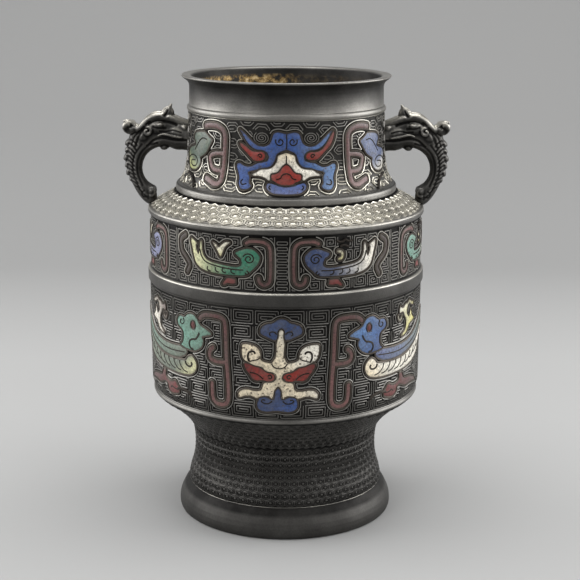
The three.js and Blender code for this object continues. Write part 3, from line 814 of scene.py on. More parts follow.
COBALT, SKY = (0.034, 0.078, 0.25), (0.11, 0.21, 0.41)
RED, DEEP_RED = (0.24, 0.022, 0.014), (0.12, 0.02, 0.018)
WHITE, CREAM = (0.84, 0.80, 0.70), (0.80, 0.69, 0.50)
GREEN, TEAL = (0.030, 0.165, 0.10), (0.16, 0.33, 0.26)
MAUVE, PINK, UMBER = (0.090, 0.040, 0.038), (0.165, 0.075, 0.070), (0.045, 0.030, 0.026)
YELLOW, LAVENDER = (0.62, 0.57, 0.20), (0.20, 0.215, 0.36)
HANDS = (("right", False), ("left", True))
SIDES = (("front", 0), ("back", 180))


def nearest_handle(hand, side):
    """Seen from outside, the back's own right lies towards the left handle."""
    return hand if side == "front" else {"right": "left", "left": "right"}[hand]


def moved_wire(wire, side, start):
    """A wire's curve, mirrored where the side is -1 and moved along the frieze."""
    return chaikin(wire, 2, False) * (side, 1) + (start, 0)


def both_sides(wire):
    """A wire and its mirror image."""
    return [wire, [(-x, z) for x, z in wire]]


def inlay(frieze, name, slot, colours, shape, wires, place, mirrored=False, fade=None,
          solid=True, thick=()):
    """Sets one enamel in a frieze: its glass, its walls and wires, and its place in the pad. It
    stands for the solid of its own name, of another name that is given, or of none."""
    left, bottom, values, (corners, faces, deep), walls = shaped(shape)
    side = -1 if mirrored else 1
    shift = round(math.radians(place) * frieze["radius"] / GRID)
    if mirrored:
        stamp(frieze, (shift - left - values.shape[0] + 1, bottom), values[::-1])
        faces = [face[::-1] for face in faces]
    else:
        stamp(frieze, (left + shift, bottom), values)
    start = shift * GRID
    moved = corners.copy()
    moved[:, 0] = side * moved[:, 0] + start
    shade = np.zeros(len(corners))
    if fade:
        (x0, z0), (x1, z1) = fade
        along = np.array([x1 - x0, z1 - z0])
        share = np.clip(((corners[:, :2] - (x0, z0)) @ along) / (along @ along), 0, 1)
        shade = share * share * (3 - 2 * share)
    glass = enamel_glass("glass enamel_" + name, *colours)
    piece = piece_from("enamel_" + name, [(moved, faces)], frieze, glass, fade=shade, edge=deep)
    placed(piece, name if solid is True else solid)
    frieze["walls"] += [(wall * (side, 1) + (start, 0), True) for wall in walls]
    frieze["wires"] += [(moved_wire(wire, side, start), False) for wire in wires]
    frieze["thick wires"] += [(moved_wire(wire, side, start), False) for wire in thick]


def spiral(x, z, radius, turns, start, squash=1.0, inner=0.5):
    """A round curl, from outside in."""
    steps = int(abs(turns) * 14)
    made = []
    for k in range(steps + 1):
        share = k / steps
        angle = math.radians(start) + share * turns * 2 * math.pi
        reach = radius * (1 - share) + inner * share
        made.append((x + reach * math.cos(angle), z + reach * squash * math.sin(angle)))
    return made


def fret(x, z, width, height, pitch, flip_x, flip_z):
    """A squared thunder scroll, from outside in."""
    left, right, low, high = -width / 2, width / 2, -height / 2, height / 2
    made = [(left, low)]
    while right - left > 0.3 and high - low > 0.3:
        made += [(left, high), (right, high), (right, low), (left + pitch, low)]
        left, right, low, high = left + pitch, right - pitch, low + pitch, high - pitch
    return [(x + flip_x * a, z + flip_z * b) for a, b in made]


def hexed(x, z, width, height, pitch, flip_x, flip_z):
    """A six-sided thunder scroll, from outside in."""
    made, inward = [], 0.0
    while height / 2 - inward > 0.3 * pitch:
        angle = math.radians(60 * len(made))
        made.append((x + flip_x * (width / 2 - inward) * math.cos(angle),
                     z + flip_z * (height / 2 - inward) * math.sin(angle) / HEXAGON))
        inward += pitch / 6
    return made


def cells_of(frieze, first, last, columns, rows, whole, pitch):
    """Fills a stretch of ground with thunder scrolls, one to a cell, each turned at random. Six-
    sided ones reach over their cell's sides, and every second column stands half a row higher."""
    width = (last - first) / columns
    height = (frieze["top"] - frieze["bottom"] - 2 * GROUND_EDGE) / rows
    reach = width * (4 / 3 if whole is hexed else 1)
    made = []
    for column in range(columns):
        raised = 0.5 * (column % 2) if whole is hexed else 0.0
        for row in range(-1 if raised else 0, rows):
            x = first + (column + 0.5) * width
            z = frieze["bottom"] + GROUND_EDGE + (row + 0.5 + raised) * height
            made.append(whole(x, z, reach - pitch, height - pitch, pitch,
                              rng.choice((-1, 1)), rng.choice((-1, 1))))
    return made


def clipped(path, frieze, clear):
    """Cuts a ground line where it comes too near a motif, and eases what is left."""
    path = np.array(path, float)
    fine = [path[0]]
    for a, b in zip(path, path[1:]):
        count = max(int(np.hypot(*(b - a)) / 0.5), 1)
        fine += [a + (b - a) * (k + 1) / count for k in range(count)]
    fine = np.array(fine)
    sample = frieze["sample"]
    keep = sample(wrapped_into(fine, frieze)) > clear
    keep &= fine[:, 1] > frieze["bottom"] + GROUND_EDGE
    keep &= fine[:, 1] < frieze["top"] - GROUND_EDGE
    for x, z, radius in frieze["busy"]:
        keep &= np.hypot(fine[:, 0] - x, fine[:, 1] - z) > radius
    runs, run = [], []
    for point, good in zip(fine, keep):
        if good:
            run.append(point)
        elif run:
            runs.append(run)
            run = []
    if run:
        runs.append(run)
    if len(runs) > 1 and keep[0] and keep[-1] and np.hypot(*(fine[0] - fine[-1])) < 0.6:
        runs[0] = runs.pop() + runs[0]
    return [simpler(np.array(r)) for r in runs if len(r) > 3]


def wrapped_into(points, frieze):
    """Brings flat points back between the frieze's two seams."""
    first = frieze["corner"][0] * GRID
    length = frieze["columns"] * GRID
    moved = points.copy()
    moved[:, 0] = first + (moved[:, 0] - first) % length
    return moved


def simpler(path, longest=5.0):
    """Drops points that lie on straight runs, and eases the corners that stay."""
    kept = [path[0]]
    for k in range(1, len(path) - 1):
        before, after = path[k] - kept[-1], path[k + 1] - path[k]
        bend = abs(before[0] * after[1] - before[1] * after[0])
        since = np.hypot(*before)
        if bend > 0.02 * since or since > longest:
            kept.append(path[k])
    kept.append(path[-1])
    return np.array(eased(kept, 0.42, False))


def close_frieze(frieze, scrolls, rubbed_below=0.0, crest=0.66):
    """Makes the bronze of a frieze: pads, rims, cell walls, wires, echo lines and scrolls. The
    scrolls are worn at their crests, and are made lighter below the height that is given."""
    corner, field, name = frieze["corner"], frieze["field"], frieze["name"]
    frieze["sample"] = sampler(corner, field)
    pad = slab(contours(corner, field.copy(), PAD_OFFSET), frieze["sample"], PAD_OFFSET,
               PAD_SPACING, lambda deep: np.full(len(deep), PAD_HEIGHT), PAD_FOOT)
    rims = [(thinned(loop, 0.06, 2.0), True)
            for loop in contours(corner, field.copy(), RIM_OFFSET)]
    placed(piece_from(
        name + "_relief",
        [pad[:2], ridges(rims, *RIM), ridges(frieze["walls"], *WALL),
         ridges(frieze["wires"], *WIRE), ridges(frieze["thick wires"], *THICK_WIRE)],
        frieze, patinated_bronze(name + " relief bronze", grain=1.3, warm=True),
        lambda flat: np.interp(flat[:, 2], *zip(*RELIEF_WEAR)), LINE_SHARP))
    echo = [(part, False) for loop in contours(corner, field.copy(), ECHO_OFFSET, True)
            for part in clipped(loop, frieze, ECHO_OFFSET - 0.3)]
    ground = [(part, False) for path in scrolls for part in clipped(path, frieze, SCROLL_CLEAR)]

    def scroll_wear(flat):
        rubbed = 0.5 * np.clip((rubbed_below - flat[:, 1]) / 16, 0, 1)
        levels = [0.0, 0.12, crest, crest + 0.12]
        return np.interp(flat[:, 2], [-0.2, 0.2, 0.7, 0.85], levels) + rubbed

    placed(piece_from(
        name + "_scrolls", [ridges(ground + frieze["lines"], *SCROLL), ridges(echo, *ECHO)],
        frieze, patinated_bronze(name + " scroll bronze", grain=1.2), scroll_wear,
        LINE_SHARP))


neck_frieze = new_frieze(
    "neck_frieze", NECK_FIELD, 66.8, 0.1, math.radians(90), 229.2, 275.9)

mask_brow = [fill(both([
    (0, 268.2), (2.4, 268.8), (5.3, 269.4), (8.2, 268.6), (9.2, 265.2), (10.3, 262.2),
    (12.5, 260.6), (15, 260.1), (18.2, 260.5), (21.6, 262.7), (24.5, 265.5), (27.8, 268.4),
    (31, 270.6), (29.6, 268.4), (27.2, 264.8), (24.3, 260.9), (21.4, 258.9), (18.2, 257.9),
    (14.9, 258), (12.2, 256.4), (11, 253.9), (11.8, 251.2), (14.9, 250.2), (18.2, 249.8),
    (20.6, 248.4), (23.5, 247), (27.8, 247.5), (29.8, 249), (32.2, 249), (32.8, 246.7),
    (31.2, 243.4), (30.2, 240), (30.6, 236.2), (28.8, 233), (25.9, 232.3), (23, 233.4),
    (21.8, 235.2), (23.6, 236.6), (23.2, 239.5), (23.7, 241.9), (25, 243.4), (23, 244.6),
    (19.2, 245.2), (16.8, 246.5), (12.5, 247), (10.1, 247.6), (8, 249.8), (7, 252.5),
    (6.2, 255.8), (2.4, 257.7), (0, 258.6)]))]
brow_wires = [spiral(side * 4.0, 263.4, 3.0, side * -1.2, 90 - side * 60, 1.0, 0.6)
              for side in (-1, 1)]
brow_wires += [[(0, 258.8), (0.3, 263), (0, 268)],
               *both_sides([(25, 236.4), (28, 235.4), (29.2, 237.4), (27.6, 239)])]
mask_horns = {
    "right": [fill([
        (31.2, 270), (31.8, 268.2), (30.6, 264), (28.7, 260.3), (25, 256.9), (22.6, 254.5),
        (20.2, 252.1), (16.3, 251.5), (13.1, 252.1), (12.2, 253.9), (13.1, 256.1), (15.8, 257.1),
        (19.2, 256.6), (22.8, 258), (25.7, 261), (28.1, 265.3), (29.8, 268.6)])],
    "left": [fill([
        (31.2, 262), (28.3, 261.4), (25, 259), (21.6, 256.7), (18.2, 256.9), (14.9, 257.1),
        (13.2, 255.3), (13.6, 252.2), (16.8, 250.8), (20.6, 250.8), (23.5, 253.5), (26.9, 256.9),
        (29.8, 259.3)])],
}
horn_wires = [spiral(16.6, 254.2, 1.4, 1.0, 0, 1.0, 0.6)]
mask_fangs = [fill(both([
    (0, 256.6), (2.6, 255.7), (5.6, 254.7), (5.7, 251.6), (7.2, 248.9), (9.4, 246.8), (12, 245.9),
    (16.4, 245.8), (18.6, 244), (22, 242.5), (21.4, 241.5), (16.4, 241.6), (12.8, 240.4),
    (11.6, 238.9), (9.9, 239), (10.2, 243.3), (6.7, 243.6), (4.6, 245.3), (3, 248), (0.8, 249.6),
    (0, 249.8)]))]
fang_wires = [[(0, 254.6), (0, 249.4)]]
mask_nose = [fill(both([
    (0, 249), (2, 248.1), (3.6, 245.7), (5.1, 243.6), (9.7, 243), (9.6, 239.7), (7.2, 238),
    (4, 236.4), (0, 235.9)]))]
nose_wires = [[(-6.2, 239.6), (-3.6, 240.2), (-2.6, 242.6), (0, 243.6), (2.6, 242.6),
               (3.6, 240.2), (6.2, 239.6)]]
mask_chin = [fill(both([
    (0, 234.7), (5.4, 235.7), (8.2, 237.3), (11.3, 237.6), (12.6, 235.6), (11.6, 233),
    (8.2, 230.9), (0, 230.4)]))]
chin_wires = both_sides([(9.4, 233.2), (10.8, 234.4), (9.8, 235.8)])

neck_creature = [fill([
    (52.6, 261.7), (55, 262.7), (58, 264.5), (60, 266.2), (63.3, 266), (68, 265.6), (72.6, 264.6),
    (74.2, 263), (74.6, 261), (72.6, 258.6), (71.6, 256.8), (75.7, 255.5), (79.7, 254.8),
    (83.8, 252.8), (84.6, 250.6), (83.8, 246.8), (81.8, 243.6), (79.3, 241.1), (74.7, 240.4),
    (70, 241.1), (66.8, 243), (65.5, 245.2), (65.5, 247.6), (66.4, 249.4), (63.4, 250.7),
    (60, 252.4), (57.4, 255), (55.4, 258.2)])]
creature_wires = [
    [(83, 247), (79.6, 249.4), (74, 250.2), (69.6, 248.6), (68.6, 246), (70.4, 243.2), (75, 242.6),
     (78.6, 244.4), (77.6, 246.6), (72, 246.8)],
    [(58, 261.6), (62, 262.6), (66, 260.6), (69.6, 257), (73, 253.4)],
]
neck_frame = [
    line([(60, 270.3), (55, 271.4), (48, 271.2), (43.4, 269), (41.8, 265.6), (42, 258),
          (42.8, 245), (43.4, 238.4), (44.8, 234.8), (48.6, 234), (52.6, 235.6), (57, 237)], 3.2),
    line([(42.4, 254), (48, 253.9), (52.6, 253), (55.2, 251.2), (54.6, 247.6), (52.4, 243.6),
          (48, 242.8), (43, 243)], 2.6),
]
FISH_TAIL = [(66, 229.8), (68.4, 231.6), (73, 235), (76.4, 236.8), (82, 237.8)]
CREATURE_GLASS = {
    "right": ("cobalt", ((0.085, 0.115, 0.22), WHITE)),
    "left": ("teal", ((0.050, 0.080, 0.058), (0.46, 0.48, 0.20))),
}

for side, place in SIDES:
    for name, slot, colours, shape, wires, fade in (
            ("brow", "cobalt", (COBALT, SKY), mask_brow, brow_wires, ((0, 262), (40, 252))),
            ("fangs", "white", (WHITE, CREAM), mask_fangs, fang_wires, ((0, 245), (0, 258))),
            ("nose", "red", (RED, DEEP_RED), mask_nose, nose_wires, None),
            ("chin", "cobalt", (COBALT, LAVENDER), mask_chin, chin_wires, ((0, 240), (0, 222)))):
        inlay(neck_frieze, f"mask_{name}_{side}", slot, colours, shape, wires, place, fade=fade)
    for hand, mirrored in HANDS:
        inlay(neck_frieze, f"mask_horn_{hand}_{side}", "red", (RED, PINK), mask_horns[hand],
              horn_wires, place, mirrored, ((20, 254), (46, 276)))
        whose = nearest_handle(hand, side)
        tag = f"{side}_{whose}"
        inlay(neck_frieze, "neck_creature_" + tag, *CREATURE_GLASS[whose], neck_creature,
              creature_wires, place, mirrored, ((70, 249), (75, 238)))
        inlay(neck_frieze, "neck_frame_" + tag, "mauve", (MAUVE, PINK), neck_frame, (), place,
              mirrored, ((44, 290), (44, 210)))

# Round scrolls beside the mask's forehead, and six-sided scrolls everywhere else.
CURL_OFFSET, CURL_HEIGHT = 15.9, 265.5
half_way = math.pi * neck_frieze["radius"]
for middle in (0, -half_way):
    for side in (-1, 1):
        x = middle + side * CURL_OFFSET
        curl = spiral(x, CURL_HEIGHT, 5.4, side * -3.0, 90 - side * 40, 0.8, 0.5)
        neck_frieze["lines"].append((np.array(curl), False))
        for turn in (0, -2 * half_way):
            neck_frieze["busy"].append((x + turn, CURL_HEIGHT, 6.0))
        neck_frieze["thick wires"].append((moved_wire(FISH_TAIL, side, middle), False))
close_frieze(neck_frieze, cells_of(
    neck_frieze, -1.5 * half_way, 0.5 * half_way, 40, 5, hexed, 1.7), rubbed_below=250.0)

# Upper body frieze. Seven cells parted by upright ladders of looped scrolls, each cell with a
# crested bird in a hooked frame. The birds on both sides look towards the front.
CELLS = 7
upper_frieze = new_frieze(
    "upper_frieze", UPPER_FIELD, 92.0, -1.4, math.radians(720 / CELLS), 172.8, 208.2)
upper_bird = [fill([
    (13.8, 195.2), (15.4, 197.6), (18, 199.6), (21, 200.2), (24, 199.8), (27.4, 198.4),
    (30.2, 197.2), (29.4, 195.2), (26.8, 194.2), (25.6, 190.6), (26.8, 188.4), (31, 187.8),
    (40, 188.6), (47, 189.5), (51, 191), (53, 193.4), (54, 197), (54, 202.4), (55.6, 202),
    (56.2, 196), (57, 192.6), (58.6, 196), (59.4, 199.2), (57.8, 200.1), (59.8, 201.5),
    (63.3, 203.5), (63.2, 200.6), (62, 196.6), (60.6, 191), (59.2, 187.6), (56, 184.9),
    (51, 183.3), (44.6, 182.6), (36, 182.4), (26, 182.6), (21.6, 183.4), (19.6, 186),
    (17.4, 187.8), (15.4, 190), (14.2, 192.6)])]
bird_wires = [
    [(24.6, 186.4), (31, 186.2), (40, 187), (47, 188), (51.6, 189.4), (54.4, 192.4), (55.8, 197)],
    spiral(21, 193.6, 4.0, 1.6, 20, 0.9, 0.8),
    spiral(22.4, 184.6, 1.3, 0.8, 90, 1.0, 0.7),
]
for x in (32.4, 38.4, 43.4, 49.4):
    bird_wires.append([(x, 186.6), (x + 0.6, 185), (x - 0.6, 183.8), (x - 2.2, 183.6)])
upper_frame = [
    line([(22.8, 203.4), (20.4, 204.9), (12, 204.7), (8.4, 202.6), (7.2, 199), (7.2, 182),
          (8.2, 178.4), (11.4, 177), (14.2, 178.6), (14.8, 181.6)], 2.2),
]
upper_tail = [
    line([(68.4, 204.4), (73.4, 201.4), (72.4, 193.6), (67.4, 189.4), (64.2, 185.4),
          (67, 180.8)], 2.0),
]
upper_sprig = [line([(35.8, 198.2), (38.2, 197.6), (38.8, 195.4), (38, 193.4), (36.4, 193.2)], 1.7)]
upper_moth = [fill([
    (33, 203.2), (35.6, 201.6), (37.4, 199.8), (38.6, 196.4), (40.2, 193.2), (41.8, 196.2),
    (43.8, 199.4), (46.4, 202.6), (43.2, 201.4), (41.2, 199), (39.6, 201.2), (36.6, 203.4)])]
SPRIG_LINES = [
    [(37, 200.8), (39.4, 202), (43, 200.4)],
    [(34.4, 205.1), (36.1, 203.8), (39.1, 203.8), (40.4, 205.5), (42.5, 203.8), (45.9, 204.2)],
]
upper_accent = [fill([
    (29.7, 180.4), (36, 180.6), (37.3, 178.6), (39.3, 175.9), (37, 175.9), (35.2, 177.4),
    (33, 176.9), (31, 177), (29.4, 177.4), (29.8, 179)])]
cell_turn = 360 / CELLS
cells = [(f"{hand}_{cell + 1}", (-cell if mirrored else cell) * cell_turn, mirrored)
         for cell in range(CELLS // 2) for hand, mirrored in HANDS]
cells.append(("rear", CELLS // 2 * cell_turn, False))
PRIMROSE, MIDNIGHT = (0.62, 0.60, 0.36), (0.030, 0.052, 0.135)
BIRD_COLOURS = {
    "left_1": ("green", (GREEN, PRIMROSE)), "right_1": ("cobalt", (MIDNIGHT, WHITE)),
    "left_2": ("cobalt", (LAVENDER, WHITE)), "right_2": ("green", (TEAL, WHITE)),
    "left_3": ("green", (GREEN, TEAL)), "right_3": ("cobalt", (COBALT, SKY)),
    "rear": ("green", (GREEN, PRIMROSE)),
}
for tag, place, mirrored in cells:
    # The cell at the very back has no solids of its own.
    for name, slot, colours, shape, wires, fade, solid in (
            ("bird", *BIRD_COLOURS[tag], upper_bird, bird_wires, ((30, 184), (62, 194)), True),
            ("frame", "mauve", (MAUVE, PINK), upper_frame, (), ((0, 170), (20, 212)), True),
            ("tail", "mauve", (UMBER, MAUVE), upper_tail, (), None, False),
            ("sprig", "white", (WHITE, YELLOW), upper_moth if mirrored else upper_sprig, (),
             ((36, 206), (36, 186)), False),
            ("accent", "red", ((0.16, 0.030, 0.026), MAUVE), upper_accent, (), None, False)):
        inlay(upper_frieze, f"crested_{name}_{tag}", slot, colours, shape, wires, place, mirrored,
              fade, solid and tag != "rear")
    start = math.radians(place) * upper_frieze["radius"]
    for sprig_line in () if mirrored else SPRIG_LINES:
        sprig = moved_wire(sprig_line, 1, start)
        upper_frieze["thick wires"].append((sprig, False))
        upper_frieze["busy"].append((*sprig.mean(0), 3.4))

upper_scrolls = []
cell_arc = 2 * math.pi * upper_frieze["radius"] / CELLS
LADDER_HALF, LADDER_PITCH, LADDER_LOOP = 3.3, 3.6, 1.9
LADDER_FOOT, LADDER_TOP = 174.2, 207.6
RAIL_FOOT, RAIL_GAP, SCROLL_GAP = 173.6, 1.5, 2.2
for column in range(CELLS):
    middle = (column - 4) * cell_arc
    left, right = middle - LADDER_HALF, middle + LADDER_HALF
    z = LADDER_FOOT
    while z + LADDER_LOOP < LADDER_TOP:
        loop = [(left, z), (right, z), (right, z + LADDER_LOOP), (left, z + LADDER_LOOP)]
        upper_frieze["lines"].append((np.array(eased(loop, 0.7)), True))
        z += LADDER_PITCH
    for x in (left - RAIL_GAP, right + RAIL_GAP):
        upper_frieze["lines"].append((np.array([(x, RAIL_FOOT), (x, LADDER_TOP)]), False))
    upper_scrolls += cells_of(
        upper_frieze, right + SCROLL_GAP, left + cell_arc - SCROLL_GAP, 7, 4, fret, 1.5)
close_frieze(upper_frieze, upper_scrolls)

# Lower body frieze. The deepest and largest: a flower ornament front and back, and on each
# side of it a hooked frame and a great bird whose tail sweeps round to the handle's side.
lower_frieze = new_frieze(
    "lower_frieze", LOWER_FIELD, 93.0, -2.3, math.radians(90), 89.4, 162.2)
FLOWER_LEAN, FLOWER_MIDDLE = 0.05, 127.0


def leaning(points):
    """The flower leans a little, as it does in the photograph."""
    return [(x + FLOWER_LEAN * (z - FLOWER_MIDDLE), z) for x, z in points]


flower_cap = [fill(leaning(both([
    (0, 156.4), (3.2, 155.4), (5.2, 153.4), (8.8, 153), (12, 151.6), (13.6, 148.4), (12.8, 146),
    (8.8, 144.4), (4.8, 142.4), (2.8, 142.6), (2, 144.8), (2.4, 147.4), (1.8, 149.2),
    (0, 150.4)])))]
cap_wires = [leaning(wire) for wire in both_sides([
    (2.8, 146.4), (4.4, 148), (6.8, 147.8), (7.6, 146.2), (6.4, 145.4)])]
flower_figure = [fill(leaning(both([
    (0, 149.6), (1.7, 148), (1.3, 145), (2.7, 140.4), (2.4, 136), (2.6, 131.4), (4.2, 128.6),
    (5.2, 127.2), (7.6, 127.8), (10, 128.2), (12.4, 129.6), (12.2, 132.4), (13.2, 135.8),
    (15.6, 138), (19, 139), (22.8, 139.3), (24.8, 138.8), (24.9, 134), (24.2, 130.4),
    (22.4, 128.3), (19.2, 127), (17.6, 126), (14.4, 125.2), (11, 124.8), (9.2, 122.8),
    (7, 121.5), (4.2, 121.3), (2.4, 119.6), (2, 117.8), (2.6, 116), (5.4, 114.8), (9.4, 114.6),
    (10, 112.2), (10.4, 110), (12.4, 108.9), (16, 108.9), (20, 109.7), (23.6, 109), (26, 106.6),
    (25.8, 103.9), (24, 104), (21.4, 105.2), (18, 105.5), (15.6, 104.8), (13, 103.8),
    (11.6, 105.1), (8.6, 105.8), (5.6, 106), (4, 104), (2.4, 104.2), (2.2, 106.8), (2.6, 109),
    (1, 110.9), (0, 112.6)])))]
figure_hooks = [leaning(wire) for wire in both_sides([
    (19.5, 128), (20.6, 130.8), (20.2, 133.8), (18.2, 135), (16.2, 134.4), (15.9, 133.2)])]
figure_wires = [leaning(wire) for wire in (
    *both_sides([(19.5, 128), (16.6, 128.9), (14, 129.5), (12.9, 130.6)]),
    [(-5, 127.2), (-3.6, 124.9), (0, 123.9), (3.4, 124.9), (5, 127.2)])]
flower_wing = [fill([
    (22.6, 127), (19, 126.2), (16.4, 125), (13, 124.6), (10.6, 123), (8.2, 121.3), (5.6, 121.3),
    (2.9, 120.4), (2.2, 118.8), (2.7, 116.8), (4.9, 115.4), (8, 115.3), (10.2, 116.2),
    (12.6, 115.9), (15.2, 115.6), (17.6, 116.8), (19, 119.4), (21, 121.4), (22.2, 123.6),
    (23, 125.4)])]
wing_wires = [
    spiral(6.0, 118.4, 1.5, 0.9, 20, 1.0, 0.8),
    [(10.4, 117), (13, 119.4), (16, 120.6), (19, 120.9)],
]
flower_base = [fill(leaning(both([
    (0, 112.2), (1.8, 109.8), (2.2, 106.4), (3.4, 103), (5.4, 104.4), (8.4, 105.5),
    (11.6, 104.8), (13, 101.6), (12.9, 98), (10.8, 96), (6.8, 95.3), (2.6, 96), (0, 96.3)])))]
base_wires = [leaning(wire) for wire in both_sides([
    (3.4, 102.6), (5.6, 100.9), (8.6, 101), (10.6, 102.4), (9.6, 103.6), (8, 103.2)])]
lower_frame = [
    line([(55, 152), (52.4, 154.4), (48, 155.2), (40, 155), (36.6, 153.4), (35.6, 150),
          (35.2, 130), (34.1, 115), (33.7, 105), (34.2, 99.6), (37, 97.3), (42, 97.4),
          (45, 100), (45.6, 104), (45.8, 110.6)], 2.8),
    line([(35.2, 125.6), (43, 125.3), (46.8, 126.6), (47.8, 130), (46.6, 133.2),
          (44.8, 134.4)], 2.6),
]
bird_head = [fill([
    (45.0, 142.6), (49.8, 145.4), (53.4, 146.6), (55.8, 148.4), (57.2, 151), (59.2, 153),
    (62.4, 153.9), (65.6, 153), (67.8, 151.2), (69.2, 150.2), (72.2, 151), (74.6, 149.8),
    (75.8, 147.4), (75.6, 145), (73.4, 143.4), (70.6, 142), (69.6, 139.6), (69.6, 136.2),
    (70.6, 133.4), (73, 131.4), (70, 129.9), (66, 130.2), (63.4, 129.6), (59.4, 129.8),
    (56.2, 131.2), (53.8, 133.2), (52.4, 136), (52.4, 138.4), (54, 140), (50.6, 141.2)]),
    cut(spiral(60.8, 146.6, 2.5, 0.95, 0, 1.3, 2.5), 1)]
head_wires = [spiral(71, 147.6, 2.6, 0.9, 120, 1.0, 1.0)]
head_curls = [
    [(55.4, 142.4), (56.4, 140), (58.4, 137.6), (61, 137.4), (63.6, 136.2), (64.4, 133.6),
     (63, 130.8), (60.6, 130.6)],
]
bird_eye = [fill(spiral(60.8, 146.6, 1.8, 0.95, 0, 1.35, 1.8), 1)]
bird_back = [fill([
    (66.4, 128.6), (70.6, 130.9), (75, 130.2), (84, 129.7), (94, 129.8), (105, 131.4),
    (110.5, 133), (123, 139.5), (134.4, 148.4), (134.4, 139.5), (124, 131), (110, 125.6),
    (96, 122.6), (84, 121.9), (75, 122.6), (70.8, 124.2), (67.4, 126.2)])]
back_wires = [
    [(69, 127.2), (76, 126.6), (84, 126), (95.6, 126.4), (110.4, 129.4), (123.4, 135.4),
     (133, 143.4)],
]
bird_wing = [fill([
    (60.4, 124.6), (62.4, 125.9), (64.8, 125.4), (66.8, 123.8), (68.2, 121.6), (72.9, 121.2),
    (78, 120.5), (90, 120.4), (100, 121.4), (110, 124.4), (124, 129.8), (134.4, 138),
    (134.4, 133), (126, 125.4), (120, 118.4), (112, 115), (104.5, 113.4), (95, 112.4),
    (81.5, 111.9), (72.9, 112), (66.5, 112.5), (62.4, 113.6), (59.4, 116), (58.1, 119.3),
    (58.5, 122.3)])]
wing_curls = [[(68.2, 121.4), (67.6, 119.6), (65.6, 118.5), (63.3, 118.6), (61.8, 120.4),
               (62.8, 121.6)]]
wing_lines = []
for feather in range(9):
    x = 6.4 * feather
    rise = np.interp(x, [0, 26, 40, 52], [0, 0.4, 4.0, 8.6])
    wing_lines.append([(a + x, b + rise) for a, b in (
        (74.2, 120.6), (73.6, 118.4), (72, 116.6), (69.4, 114.7), (66, 114.2))])
flame = [
    fill([(91, 156), (92.4, 154.2), (95, 153.4), (96.4, 154.8), (98.8, 155.8), (101, 155),
          (101, 153.4), (100, 151), (99.6, 149), (101.6, 147.4), (103, 145.8), (104, 146.8),
          (104.8, 149.6), (106.2, 150.8), (107.4, 148.6), (107.8, 146.4), (110, 144.8),
          (112.6, 143.2), (109, 142), (104.6, 141.4), (102.6, 139.4), (100.8, 137),
          (98.4, 135.6), (95, 134.8), (92, 135), (94.8, 136.5), (97.4, 137.8), (98.9, 139.8),
          (99.3, 142.8), (98.8, 145.2), (97.6, 147), (96, 149), (95.2, 150.8), (93.2, 151.3),
          (90.8, 150.2), (90, 152.8)], 1),
    line([(101, 154.6), (103.4, 156.6), (106.4, 154.8), (110, 153.8)], 1.8),
    line([(93.4, 149), (92.6, 146.6), (90.6, 146), (89, 147.2), (88.6, 149)], 1.3),
]
SWOOSH = [(62.6, 98.4), (67, 101), (72.6, 101.6), (77, 101)]
leaves = [
    fill([(75.4, 101.8), (77, 102.8), (78.5, 105), (80.5, 105.4), (83, 104), (86, 103.6),
          (90, 104.6), (92, 106.4), (91.6, 110), (95.4, 110), (96.5, 107), (98.6, 105),
          (104, 104.6), (111, 103.4), (117, 101.4), (120, 98.6), (114, 99.8), (107, 100.2),
          (102, 99.6), (98, 100.6), (94.8, 102), (91.6, 102.6), (88.6, 101.6), (88.4, 99),
          (86, 96.8), (82, 96.4), (76, 97.8), (74.8, 99.8)], 1),
]
leaf_wires = [[(76, 100.4), (80, 100.2), (83, 101.4), (84.6, 100)]]
SAGE, ASH, SLATE = (0.15, 0.255, 0.20), (0.17, 0.20, 0.16), (0.13, 0.16, 0.29)
BIRD_TINTS = {
    "left": {"slot": "teal", "head": (SAGE, TEAL), "back": (ASH, SAGE),
             "wing": ("yellow", (ASH, PRIMROSE)), "flame": (WHITE, MAUVE)},
    "right": {"slot": "cobalt", "head": (SKY, COBALT), "back": (SLATE, ASH),
              "wing": ("white", (WHITE, CREAM)), "flame": (YELLOW, WHITE)},
}
